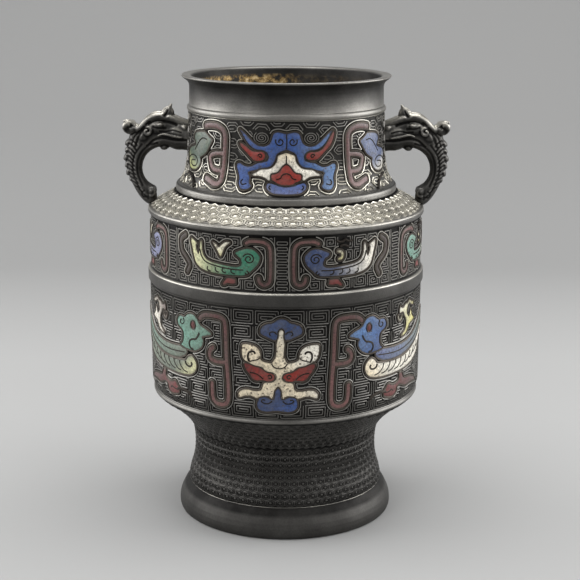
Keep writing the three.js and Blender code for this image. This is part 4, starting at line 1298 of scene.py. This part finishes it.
for side, place in SIDES:
    inlay(lower_frieze, "flower_cap_" + side, "cobalt", (MIDNIGHT, SKY), flower_cap, cap_wires,
          place)
    inlay(lower_frieze, "flower_figure_" + side, "white", (CREAM, WHITE, 1.5), flower_figure,
          figure_wires, place, fade=((0, 120), (22, 132)), thick=figure_hooks)
    inlay(lower_frieze, "flower_base_" + side, "cobalt", (MIDNIGHT, COBALT), flower_base,
          base_wires, place, fade=((0, 108), (12, 94)))
    for hand, mirrored in HANDS:
        inlay(lower_frieze, f"flower_wing_{hand}_{side}", "red", (RED, DEEP_RED), flower_wing,
              wing_wires, place, mirrored, ((6, 119), (26, 126)))
        whose = nearest_handle(hand, side)
        tag = f"{side}_{whose}"
        tints = BIRD_TINTS[whose]
        for name, slot, colours, shape, wires, fade, solid, thick in (
                ("bird_head", tints["slot"], tints["head"], bird_head, head_wires,
                 ((48, 150), (80, 130)), "bird_" + tag, head_curls),
                ("bird_eye", "red", (DEEP_RED, RED), bird_eye, (), None, False, ()),
                ("bird_back", tints["slot"], tints["back"], bird_back, back_wires,
                 ((64, 124), (140, 140)), False, ()),
                ("bird_wing", *tints["wing"], bird_wing, wing_lines, ((76, 124), (60, 112)),
                 False, wing_curls),
                ("bird_frame", "mauve", (MAUVE, PINK), lower_frame, (), ((20, 170), (40, 90)),
                 True, ()),
                ("flame", "yellow", tints["flame"], flame, (), ((110, 140), (86, 158)), True, ()),
                ("leaves", "red", ((0.15, 0.040, 0.038), MAUVE), leaves, leaf_wires,
                 ((76, 100), (112, 104)), False, ())):
            inlay(lower_frieze, f"{name}_{tag}", slot, colours, shape, wires, place, mirrored,
                  fade, solid, thick)
        start = math.radians(place) * lower_frieze["radius"]
        swoosh = moved_wire(SWOOSH, -1 if mirrored else 1, start)
        lower_frieze["thick wires"].append((swoosh, False))

half_way = math.pi * lower_frieze["radius"]
close_frieze(lower_frieze, cells_of(
    lower_frieze, -1.5 * half_way, 0.5 * half_way, 36, 7, fret, 1.7), crest=0.5)

# Diapers of the shoulder, the underside and the foot. Rows of bosses, each inside two six-sided
# rings, cast on the sloping shoulder in three rows and, smaller and flatter, all over the
# body's underside and the foot's waist.
RING_SHARES, RING_CREST = (0.94, 0.62), 0.45
RING_ACROSS, RING_UP = 0.5774, 0.6667
BOSS_SQUASH, BOSS_LIFT = 0.68, 0.72
DIAPER_RADIUS = 90.0


def diaper_tree():
    """A staggered field of bosses in six-sided rings, in the flat."""
    tree = new_tree("ringed bosses", [
        ("Ground", "Geometry"), ("Columns", "Int"), ("Rows", "Int"), ("Pitch", "Float"),
        ("Row rise", "Float"), ("Ring width", "Float"), ("Height", "Float"),
        ("Boss radius", "Float"), ("Finish", "Material")])
    out = tree.nodes.new("NodeGroupInput").outputs

    def calc(kind, first, second):
        return maths(tree, kind, first, second)

    grid = add_node(tree, "GeometryNodeMeshGrid", [
        ("Size X", calc("MULTIPLY", out["Pitch"], calc("SUBTRACT", out["Columns"], 1.0))),
        ("Size Y", calc("MULTIPLY", out["Row rise"], calc("SUBTRACT", out["Rows"], 1.0))),
        ("Vertices X", out["Columns"]), ("Vertices Y", out["Rows"])])
    place = tree.nodes.new("GeometryNodeInputPosition")
    parts = add_node(tree, "ShaderNodeSeparateXYZ", [("Vector", place.outputs[0])])
    from_low = calc("ADD", parts.outputs["Y"], calc(
        "MULTIPLY", calc("MULTIPLY", out["Row rise"], calc("SUBTRACT", out["Rows"], 1.0)), 0.5))
    row = calc("ROUND", calc("DIVIDE", from_low, out["Row rise"]), 0.0)
    shift = calc("MULTIPLY", calc("FLOORED_MODULO", row, 2.0), calc("MULTIPLY", out["Pitch"], 0.5))
    offset = add_node(tree, "ShaderNodeCombineXYZ", [("X", shift)])
    staggered = add_node(tree, "GeometryNodeSetPosition", [
        ("Geometry", grid.outputs["Mesh"]), ("Offset", offset.outputs[0])])
    section = ridge_section(tree, calc("MULTIPLY", out["Ring width"], RING_CREST),
                            out["Ring width"], out["Height"])
    joined = tree.nodes.new("GeometryNodeJoinGeometry")
    for share in RING_SHARES:
        ring = add_node(tree, "GeometryNodeCurvePrimitiveCircle", [
            ("Resolution", 6), ("Radius", 1.0)])
        across = calc("MULTIPLY", out["Pitch"], RING_ACROSS * share)
        up = calc("MULTIPLY", out["Row rise"], RING_UP * share)
        size = add_node(tree, "ShaderNodeCombineXYZ", [("X", across), ("Y", up), ("Z", 1.0)])
        turned_ring = add_node(tree, "GeometryNodeTransform", [
            ("Geometry", ring.outputs["Curve"]), ("Rotation", (0.0, 0.0, math.pi / 6))])
        shaped_ring = add_node(tree, "GeometryNodeTransform", [
            ("Geometry", turned_ring.outputs["Geometry"]), ("Scale", size.outputs[0])])
        swept = carried(tree, shaped_ring.outputs["Geometry"], section)
        tree.links.new(swept, joined.inputs["Geometry"])
    lump = add_node(tree, "GeometryNodeMeshUVSphere", [
        ("Segments", 8), ("Rings", 5), ("Radius", 1.0)])
    size = add_node(tree, "ShaderNodeCombineXYZ", [
        ("X", out["Boss radius"]), ("Y", calc("MULTIPLY", out["Boss radius"], BOSS_SQUASH)),
        ("Z", calc("MULTIPLY", out["Height"], BOSS_LIFT))])
    boss = add_node(tree, "GeometryNodeTransform", [
        ("Geometry", lump.outputs["Mesh"]), ("Scale", size.outputs[0])])
    tree.links.new(boss.outputs["Geometry"], joined.inputs["Geometry"])
    copies = add_node(tree, "GeometryNodeInstanceOnPoints", [
        ("Points", staggered.outputs["Geometry"]), ("Instance", joined.outputs["Geometry"])])
    return end_tree(tree, copies.outputs["Instances"], out["Finish"])


DIAPER = diaper_tree()


def diaper(name, ground, columns, rows, sizes, crest, middle, dull, bright):
    """Makes one diaper and lays it on a ground line given from its lowest point up."""
    path = np.array(ground, float)
    along = np.concatenate([[0], np.cumsum(np.hypot(*np.diff(path, axis=0).T))])
    radius = DIAPER_RADIUS
    pitch = 2 * math.pi * radius / columns
    band = {"ground": ground, "along": along, "radius": radius, "turn": 0.0}
    flat, faces = taken_apart(grown(DIAPER, [(0, 0, 0)], [], {
        "Columns": columns, "Rows": rows, "Pitch": pitch, **sizes}))
    flat[:, 1] += along[-1] * middle
    flat[:, 2] += sizes["Height"] * 0.25
    finish = patinated_bronze(name + " bronze", grain=1.1)
    placed(piece_from(name, [(flat, faces)], band, finish,
                      lambda some: np.interp(some[:, 2], [0.0, crest], [dull, bright]),
                      LINE_SHARP))


# The shoulder's rings and bosses are pale all over, partly rubbed bronze and partly a painted
# highlight where the sloping shoulder faces the lamp overhead.
diaper("shoulder_diaper", [(90.6, 213.4), (74.9, 222.2)], 64, 3, {
    "Row rise": 5.6, "Ring width": 0.95, "Height": 0.9, "Boss radius": 2.3},
    crest=0.6, middle=0.52, dull=0.6, bright=1.0)
diaper("foot_diaper", WAIST, 66, 9, {
    "Row rise": 4.25, "Ring width": 0.85, "Height": 0.75, "Boss radius": 1.4},
    crest=0.55, middle=0.5, dull=0.0, bright=0.3)
diaper("underside_diaper", UNDERSIDE, 72, 8, {
    "Row rise": 4.3, "Ring width": 0.8, "Height": 0.6, "Boss radius": 1.6},
    crest=0.5, middle=0.5, dull=0.0, bright=0.34)

# Handles. Two bronze castings, each a beast's head that bites the neck, with a rolled mane and
# a serrated back that runs down to a curled toe on the shoulder. A tenon holds the head.
HANDLE_OUTLINE = [
    (62, 268.4), (66, 269.4), (71, 270.4), (76, 272.6), (80, 274.2), (84, 274.2), (88, 273),
    (92, 270), (95.6, 266.2), (98.6, 264), (101.6, 263.4), (104.4, 261.4), (105.2, 258),
    (106.6, 250), (107.2, 243), (106.8, 236), (104.8, 228.6), (101.4, 221.6), (97.4, 215.4),
    (92.2, 211.4), (87.2, 213.6), (87, 218.4), (87.6, 222), (89, 225.5), (92.5, 227.2),
    (95.5, 231), (96.8, 236), (96.2, 241), (94, 245.6), (90, 249.2), (84.5, 251.3),
    (79.5, 251.7), (76.5, 250), (72.5, 248.9), (69, 249.2), (62, 247.8),
]
HANDLE_HALF_WIDTH, HANDLE_ROUNDING = 5.6, 4.4
REMESH_SIZE, FIXINGS_WEAR = 0.5, 0.4
BACK_CURVE = ((105.4, 257.0), (113.8, 237.0), (96.4, 213.4))
BACK_SCALLOPS = ((0.05, 2.3), (0.17, 1.8), (0.28, 2.2), (0.40, 1.9), (0.51, 2.1), (0.62, 1.6))


def pillow(outline, half_width, rounding):
    """A closed slab of a side outline, (x, z), whose rim is rounded over."""
    left, bottom, values = grid_of([fill(outline)], 2.0)
    sample = sampler((left, bottom), values)
    loops = contours((left, bottom), values, 0.0)

    def swell(deep):
        share = np.clip(deep / rounding, 0, 1)
        return half_width * np.sqrt(1 - (1 - share) ** 2)

    corners, faces, _ = slab(loops, sample, 0.0, 1.1, swell, 0.0)
    count = len(corners) // 2
    corners[count:, 2] = -corners[:count, 2]
    return np.column_stack([corners[:, 0], -corners[:, 2], corners[:, 1]]), faces


def ball(centre, radii, tilt=0.0):
    """A closed rounded lump, tilted in the side plane."""
    rings, around = 12, 18
    corners = [(0, 0, -1)]
    for i in range(1, rings):
        lean = math.pi * i / rings
        for k in range(around):
            angle = 2 * math.pi * k / around
            corners.append((math.sin(lean) * math.cos(angle), math.sin(lean) * math.sin(angle),
                            -math.cos(lean)))
    corners.append((0, 0, 1))
    faces = []
    for k in range(around):
        after = (k + 1) % around
        faces.append((0, 1 + after, 1 + k))
        for i in range(rings - 2):
            a, b = 1 + i * around + k, 1 + i * around + after
            faces.append((a, b, b + around, a + around))
        top = 1 + (rings - 2) * around
        faces.append((top + k, top + after, len(corners) - 1))
    made = np.array(corners) * np.array(radii)
    c, s = math.cos(math.radians(tilt)), math.sin(math.radians(tilt))
    made = np.column_stack([made[:, 0] * c - made[:, 2] * s, made[:, 1],
                            made[:, 0] * s + made[:, 2] * c])
    return made + np.array(centre), faces


def rope(path, radii, around=10):
    """A closed tapering rope along points in space."""
    path = chaikin(path, 2, False, 0.25)
    reach = np.interp(np.linspace(0, 1, len(path)), np.linspace(0, 1, len(radii)), radii)
    ahead = np.gradient(path, axis=0)
    ahead /= np.linalg.norm(ahead, axis=1)[:, None]
    corners, faces = [], []
    for point, way, radius in zip(path, ahead, reach):
        side = np.cross(way, (0, 1, 0.01))
        side /= np.linalg.norm(side)
        other = np.cross(way, side)
        for k in range(around):
            angle = 2 * math.pi * k / around
            corners.append(point + radius * (math.cos(angle) * side + math.sin(angle) * other))
    for i in range(len(path) - 1):
        for k in range(around):
            a, b = i * around + k, i * around + (k + 1) % around
            faces.append((a, b, b + around, a + around))
    corners += [path[0] - ahead[0] * reach[0] * 0.6, path[-1] + ahead[-1] * reach[-1] * 0.6]
    count = len(corners)
    last = (len(path) - 1) * around
    for k in range(around):
        faces.append((count - 2, (k + 1) % around, k))
        faces.append((count - 1, last + k, last + (k + 1) % around))
    return np.array(corners), faces


def back_at(share):
    """A place on the serrated back, and the tilt of the scallop there."""
    a, b, c = (np.array(p) for p in BACK_CURVE)
    place = (1 - share) ** 2 * a + 2 * share * (1 - share) * b + share ** 2 * c
    way = (1 - share) * (b - a) + share * (c - b)
    return place, math.degrees(math.atan2(way[1], way[0]))


def handle_parts():
    """Everything that one handle is modelled from: (corners, faces) each."""
    parts = [
        pillow(HANDLE_OUTLINE, HANDLE_HALF_WIDTH, HANDLE_ROUNDING),
        ball((86.0, 0, 265.0), (10.6, 7.2, 6.6), -10), ball((73.5, 0, 262.0), (9.4, 6.6, 5.8), 8),
        ball((73.6, 0, 254.6), (8.4, 5.8, 4.2)), ball((81.4, 0, 251.4), (3.2, 4.2, 2.3), -20),
        ball((95.5, 0, 259.0), (7.0, 6.6, 6.2)),
    ]
    for share, size in BACK_SCALLOPS:
        (x, z), lean = back_at(share)
        parts.append(ball((x - 2.2, 0, z), (2.1 * size, 4.2, size), lean + 38))
    for side in (-1, 1):
        parts += [
            # Ear, the thick ridge from the snout over the brow to the mane, eye and nostril.
            ball((79.2, side * 4.4, 273.6), (4.3, 2.0, 4.2), 20),
            rope([(79.6, side * 4.4, 274.0), (78.0, side * 4.8, 277.0), (76.9, side * 4.8, 279.6)],
                 [2.9, 1.9, 0.6]),
            rope([(64, side * 4.0, 267.0), (70, side * 4.6, 268.6), (76, side * 5.2, 270.6),
                  (83, side * 5.6, 272.4), (88, side * 5.4, 272.0), (92.6, side * 5.0, 269.0),
                  (96.4, side * 5.0, 264.6), (100, side * 5.0, 263.0), (103.4, side * 5.0, 264.4)],
                 [1.5, 1.9, 2.3, 2.6, 2.7, 2.6, 2.4, 2.0, 1.3]),
            rope([(103.6, side * 4.6, 260.8), (107.6, side * 4.6, 262.4),
                  (108.2, side * 4.6, 266.2), (105, side * 4.6, 268.2),
                  (101.6, side * 4.4, 267.4)], [0.9, 1.3, 1.4, 1.3, 0.8]),
            ball((83.8, side * 6.4, 266.4), (2.1, 1.4, 1.6)),
            ball((67.6, side * 5.2, 264.8), (2.0, 1.4, 1.4), 20),
            # The bright line of the lip, the cheek curl and the curled toe.
            rope([(69.4, side * 6.0, 257.8), (75, side * 6.7, 258.6), (81.6, side * 7.2, 260.8),
                  (85.6, side * 7.2, 259.4)], [0.6, 0.8, 0.8, 0.5]),
            rope([(x, side * 6.9, z) for x, z in spiral(92.6, 262.2, 3.4, 1.1, 70)],
                 [1.0, 1.0, 0.8]),
            rope([(x, side * 5.4, z) for x, z in spiral(90.4, 221.4, 2.6, -1.2, 300)],
                 [1.0, 0.9, 0.8]),
        ]
    parts += [
        rope([(98.4, 0, 260.6), (101.4, 0, 262.6), (104.6, 0, 266.4), (107.2, 0, 268.4),
              (108.9, 0, 268.0)], [4.6, 4.6, 3.2, 1.8, 0.7]),
        rope([(104.4, -6.2, 264.4), (104.4, 6.2, 264.4)], [4.3, 4.3], 18),
        rope([(90.4, -5.5, 222.2), (90.4, 5.5, 222.2)], [2.6, 2.6], 16),
    ]
    return parts


# The vessel's outer side, (height, radius), where a handle meets it.
VESSEL_SIDE = [
    (200, 92.9), (212.2, 92.9), (213.4, 90.6), (222.2, 74.9), (223.3, 74.0), (227.4, 74.0),
    (229.2, 71.4), (232.4, 69.0), (237, 67.2), (247, 65.6), (275.9, 64.8), (276.2, 65.6),
    (280.4, 65.6), (281, 64.5), (292, 64.5),
]


def cast_handle():
    """Fuses the parts into one skin, then cuts its lines into that skin."""
    corners, faces = gathered(handle_parts())
    mesh = new_mesh("handle model", (corners * MM).tolist(), [], faces)
    work = bmesh.new()
    work.from_mesh(mesh)
    bmesh.ops.recalc_face_normals(work, faces=work.faces)
    work.to_mesh(mesh)
    work.free()
    model = new_object("handle model", mesh)
    fused = model.modifiers.new("fuse", "REMESH")
    fused.mode = "VOXEL"
    fused.voxel_size = REMESH_SIZE * MM
    return carved(evaluated(model))


# Lines cut in both sides of a handle: (path, width, depth).
GROOVES = [
    ([(101.6, 267.2), (103.4, 265.8), (105.4, 265.4), (105.6, 263.4)], 1.8, 2.6),
    ([(80.4, 273), (79.4, 274.6), (78.6, 276.2)], 1.2, 1.5),
    ([(73, 266.4), (77.6, 268.2), (81, 268.8)], 0.8, 0.8),
    ([(80.6, 264.2), (84.4, 264.0), (88.4, 265.4)], 0.8, 0.7),
    ([(66.6, 256.2), (74, 256.6), (82, 258.2), (88, 256.6), (92.4, 252.4)], 0.9, 1.0),
    ([(70, 261.6), (75.4, 263.2), (79.6, 261.8), (84, 262.2)], 0.6, 0.6),
    ([(90.6, 268.4), (95.4, 264.2), (98.4, 258.6), (100.6, 252)], 0.9, 0.8),
    ([(97.6, 262.0), (101.4, 258.4), (103.2, 252.6)], 0.7, 0.6),
    ([(86, 254.4), (92, 252.6), (97, 248), (99.6, 241), (99.4, 233), (96.4, 226)], 0.8, 0.5),
    ([(96.4, 253.2), (101.4, 246.6), (103, 239), (102, 230.4)], 0.7, 0.5),
    ([(99.6, 224.6), (96.4, 220.2), (92.6, 217.0)], 0.8, 0.5),
    ([(92.6, 218.4), (96, 217.6), (97.4, 220.4), (95.4, 222)], 0.7, 0.4),
]
for lock in range(12):
    (x, z), _ = back_at((lock + 0.4) / 15)
    GROOVES.append(([(x - 1.5, z + 0.6), (x - 4.0, z - 0.2), (x - 6.4, z - 3.4)], 0.6, 0.5))


def carved(skin):
    """Sinks lines in the handle's sides, and records where it is worn, with a painted highlight on
    its upper side.
    """
    count = len(skin.vertices)
    places = np.empty(count * 3)
    skin.vertices.foreach_get("co", places)
    places = places.reshape(-1, 3) / MM
    ends = np.empty(len(skin.edges) * 2, int)
    skin.edges.foreach_get("vertices", ends)
    ends = ends.reshape(-1, 2)
    degree = np.bincount(ends.ravel(), minlength=count)[:, None]

    def spread(values):
        total = np.zeros_like(values)
        np.add.at(total, ends[:, 0], values[ends[:, 1]])
        np.add.at(total, ends[:, 1], values[ends[:, 0]])
        return total / degree

    for _ in range(2):
        places += 0.5 * (spread(places) - places)
    skin.vertices.foreach_set("co", (places * MM).ravel())
    skin.update()
    normals = np.empty(count * 3)
    skin.vertices.foreach_get("normal", normals)
    normals = normals.reshape(-1, 3)
    side = places[:, [0, 2]]
    facing = np.clip((np.abs(normals[:, 1]) - 0.35) / 0.4, 0, 1)
    depth = np.zeros(count)
    for path, width, sink in GROOVES:
        off = distance(side, chaikin(path, 2, False), False)
        depth += sink * facing * np.exp(-(off / width) ** 2)
    places -= normals * depth[:, None]
    curve = np.einsum("ij,ij->i", spread(places) - places, normals)
    for _ in range(2):
        curve = 0.5 * curve + 0.5 * spread(curve[:, None])[:, 0]
    # High edges are rubbed, and the snout too. Upward faces are made lighter, the head's upper side
    # most of all: partly rubbed bronze and partly a painted highlight from the light overhead.
    top = np.clip(normals[:, 2] + 0.1, 0, 1) * np.clip((side[:, 1] - 254) / 10, 0.2, 1.2)
    snout = np.clip((78 - side[:, 0]) / 8, 0, 1) * np.clip((side[:, 1] - 254) / 6, 0, 1)
    wear = np.clip(0.08 - curve * 7.0 - depth * 0.25 + top + 0.32 * snout, 0, 0.82)
    # The handle stops at the vessel's wall, a hair inside it, and nowhere shows through.
    reach = np.hypot(places[:, 0], places[:, 1])
    limit = np.interp(places[:, 2], *zip(*VESSEL_SIDE)) - 0.5
    short = reach < limit
    places[short, :2] *= (limit[short] / reach[short])[:, None]
    skin.vertices.foreach_set("co", (places * MM).ravel())
    record(skin, wear=wear)
    skin.update()
    return skin


def fixings():
    """The tenon's end inside the neck, hammered over into a low round head, and the pin that
    stands in the shoulder."""
    return gathered([
        ball((60.6, 0, 258), (1.9, 4.4, 4.4)),
        rope([(60.6, 0, 258), (66.5, 0, 258)], [2.6, 2.6], 16),
        rope([(89.2, 0, 210.8), (89.2, 0, 219)], [1.7, 1.7], 12)])


handle_skin = cast_handle()
skin_wear = np.empty(len(handle_skin.vertices))
handle_skin.attributes["wear"].data.foreach_get("value", skin_wear)
skin_corners, skin_faces = taken_apart(handle_skin)
handle_bronze = patinated_bronze("handle bronze", grain=1.5)
corners, faces = gathered([(skin_corners / MM, skin_faces), fixings()])
handle_wear_and_highlight = np.concatenate([skin_wear, np.full(len(corners) - len(skin_corners), FIXINGS_WEAR)])
for side, sign in (("right", 1), ("left", -1)):
    mesh = new_mesh(
        "handle_cast_" + side, (corners * (sign, 1, 1) * MM).tolist(), [], faces)
    record(mesh, wear=handle_wear_and_highlight)
    finish_mesh(mesh, 60.0)
    mesh.materials.append(handle_bronze)
    placed(new_object("handle_cast_" + side, mesh), "handle_" + side)

# Studio. A pale matt floor that runs up into a backdrop, painted a darker grey as painted shade
# where the paper rises away from the lamps; a wide soft lamp overhead, two weaker ones in front and
# one on each side, and the photograph's long-lens camera.
FLOOR_COLOUR = (0.352, 0.352, 0.349)
BACKDROP_SHADED_COLOUR = (0.262, 0.262, 0.260)
SWEEP_START, SWEEP_RADIUS, SWEEP_HEIGHT, FLOOR_REACH = 0.75, 0.5, 3.0, 3.0


def studio_paper():
    material, tree, surface, place = new_material("studio paper")
    parts = add_node(tree, "ShaderNodeSeparateXYZ", [("Vector", place)])
    # Painted shade: the paper turns from the floor's grey to a darker grey as it runs back and up,
    # where less light reaches it.
    back = ranged(tree, parts.outputs["Y"], 0.35, 1.1)
    feed(tree, surface["Base Color"], mixed(tree, back, FLOOR_COLOUR, BACKDROP_SHADED_COLOUR))
    feed(tree, surface["Roughness"], 0.9)
    feed(tree, surface["Specular IOR Level"], 0.1)
    return material


SWEEP_STEPS = 16
profile = [(-FLOOR_REACH, 0.0), (SWEEP_START, 0.0)]
for step in range(1, SWEEP_STEPS + 1):
    turn = math.pi / 2 * step / SWEEP_STEPS
    profile.append((SWEEP_START + SWEEP_RADIUS * math.sin(turn),
                    SWEEP_RADIUS * (1 - math.cos(turn))))
profile.append((SWEEP_START + SWEEP_RADIUS, SWEEP_HEIGHT))
paper_corners = [(x, y, z) for y, z in profile for x in (-FLOOR_REACH, FLOOR_REACH)]
paper_faces = [(2 * k, 2 * k + 1, 2 * k + 3, 2 * k + 2) for k in range(len(profile) - 1)]
paper_mesh = new_mesh("studio_floor", paper_corners, [], paper_faces)
paper_mesh.shade_smooth()
paper_mesh.materials.append(studio_paper())
new_object("studio_floor", paper_mesh)

for name, place, aim, size, power in (
        ("overhead", (0.0, 0.0, 1.5), (0, -0.1, 0.1), (1.6, 1.2), 24.0),
        ("front left", (-1.2, -1.4, 1.0), (0, -0.2, 0.05), (0.9, 0.9), 8.0),
        ("front right", (1.3, -1.3, 0.9), (0, -0.2, 0.05), (0.9, 0.9), 7.0),
        ("side left", (-1.1, 0.15, 0.5), (0, 0.15, 0.3), (1.0, 0.8), 11.0),
        ("side right", (1.1, 0.15, 0.5), (0, 0.15, 0.3), (1.0, 0.8), 12.0)):
    light = bpy.data.lights.new(name, "AREA")
    light.shape = "RECTANGLE"
    light.size, light.size_y = size
    light.energy = power
    lamp = new_object(name, light)
    lamp.location = place
    lamp.rotation_euler = (Vector(aim) - Vector(place)).to_track_quat("-Z", "Y").to_euler()
world = bpy.data.worlds.new("studio room")
world.use_nodes = True
world.node_tree.nodes["Background"].inputs["Color"].default_value = (0.42, 0.42, 0.42, 1.0)
world.node_tree.nodes["Background"].inputs["Strength"].default_value = 0.75
bpy.context.scene.world = world
bpy.context.scene.view_settings.view_transform = "Standard"

CAMERA_PLACE = (0.0, -0.949, 0.380)
CAMERA_PITCH, CAMERA_YAW, CAMERA_ROLL = 13.47, 0.18, 0.28
FOCAL_LENGTH, SENSOR_WIDTH = 88.2, 36.0
pitch, yaw, roll = (math.radians(v) for v in (CAMERA_PITCH, CAMERA_YAW, CAMERA_ROLL))
ahead = Vector((math.sin(yaw) * math.cos(pitch), math.cos(yaw) * math.cos(pitch),
                -math.sin(pitch)))
right = Vector((math.cos(yaw), -math.sin(yaw), 0.0))
up = right.cross(ahead)
right, up = (right * math.cos(roll) + up * math.sin(roll),
             up * math.cos(roll) - right * math.sin(roll))
lens = bpy.data.cameras.new("camera")
lens.lens, lens.sensor_width = FOCAL_LENGTH, SENSOR_WIDTH
camera = new_object("camera", lens)
camera.matrix_world = Matrix.Translation(CAMERA_PLACE) @ Matrix(
    (right, up, -ahead)).transposed().to_4x4()
bpy.context.scene.camera = camera
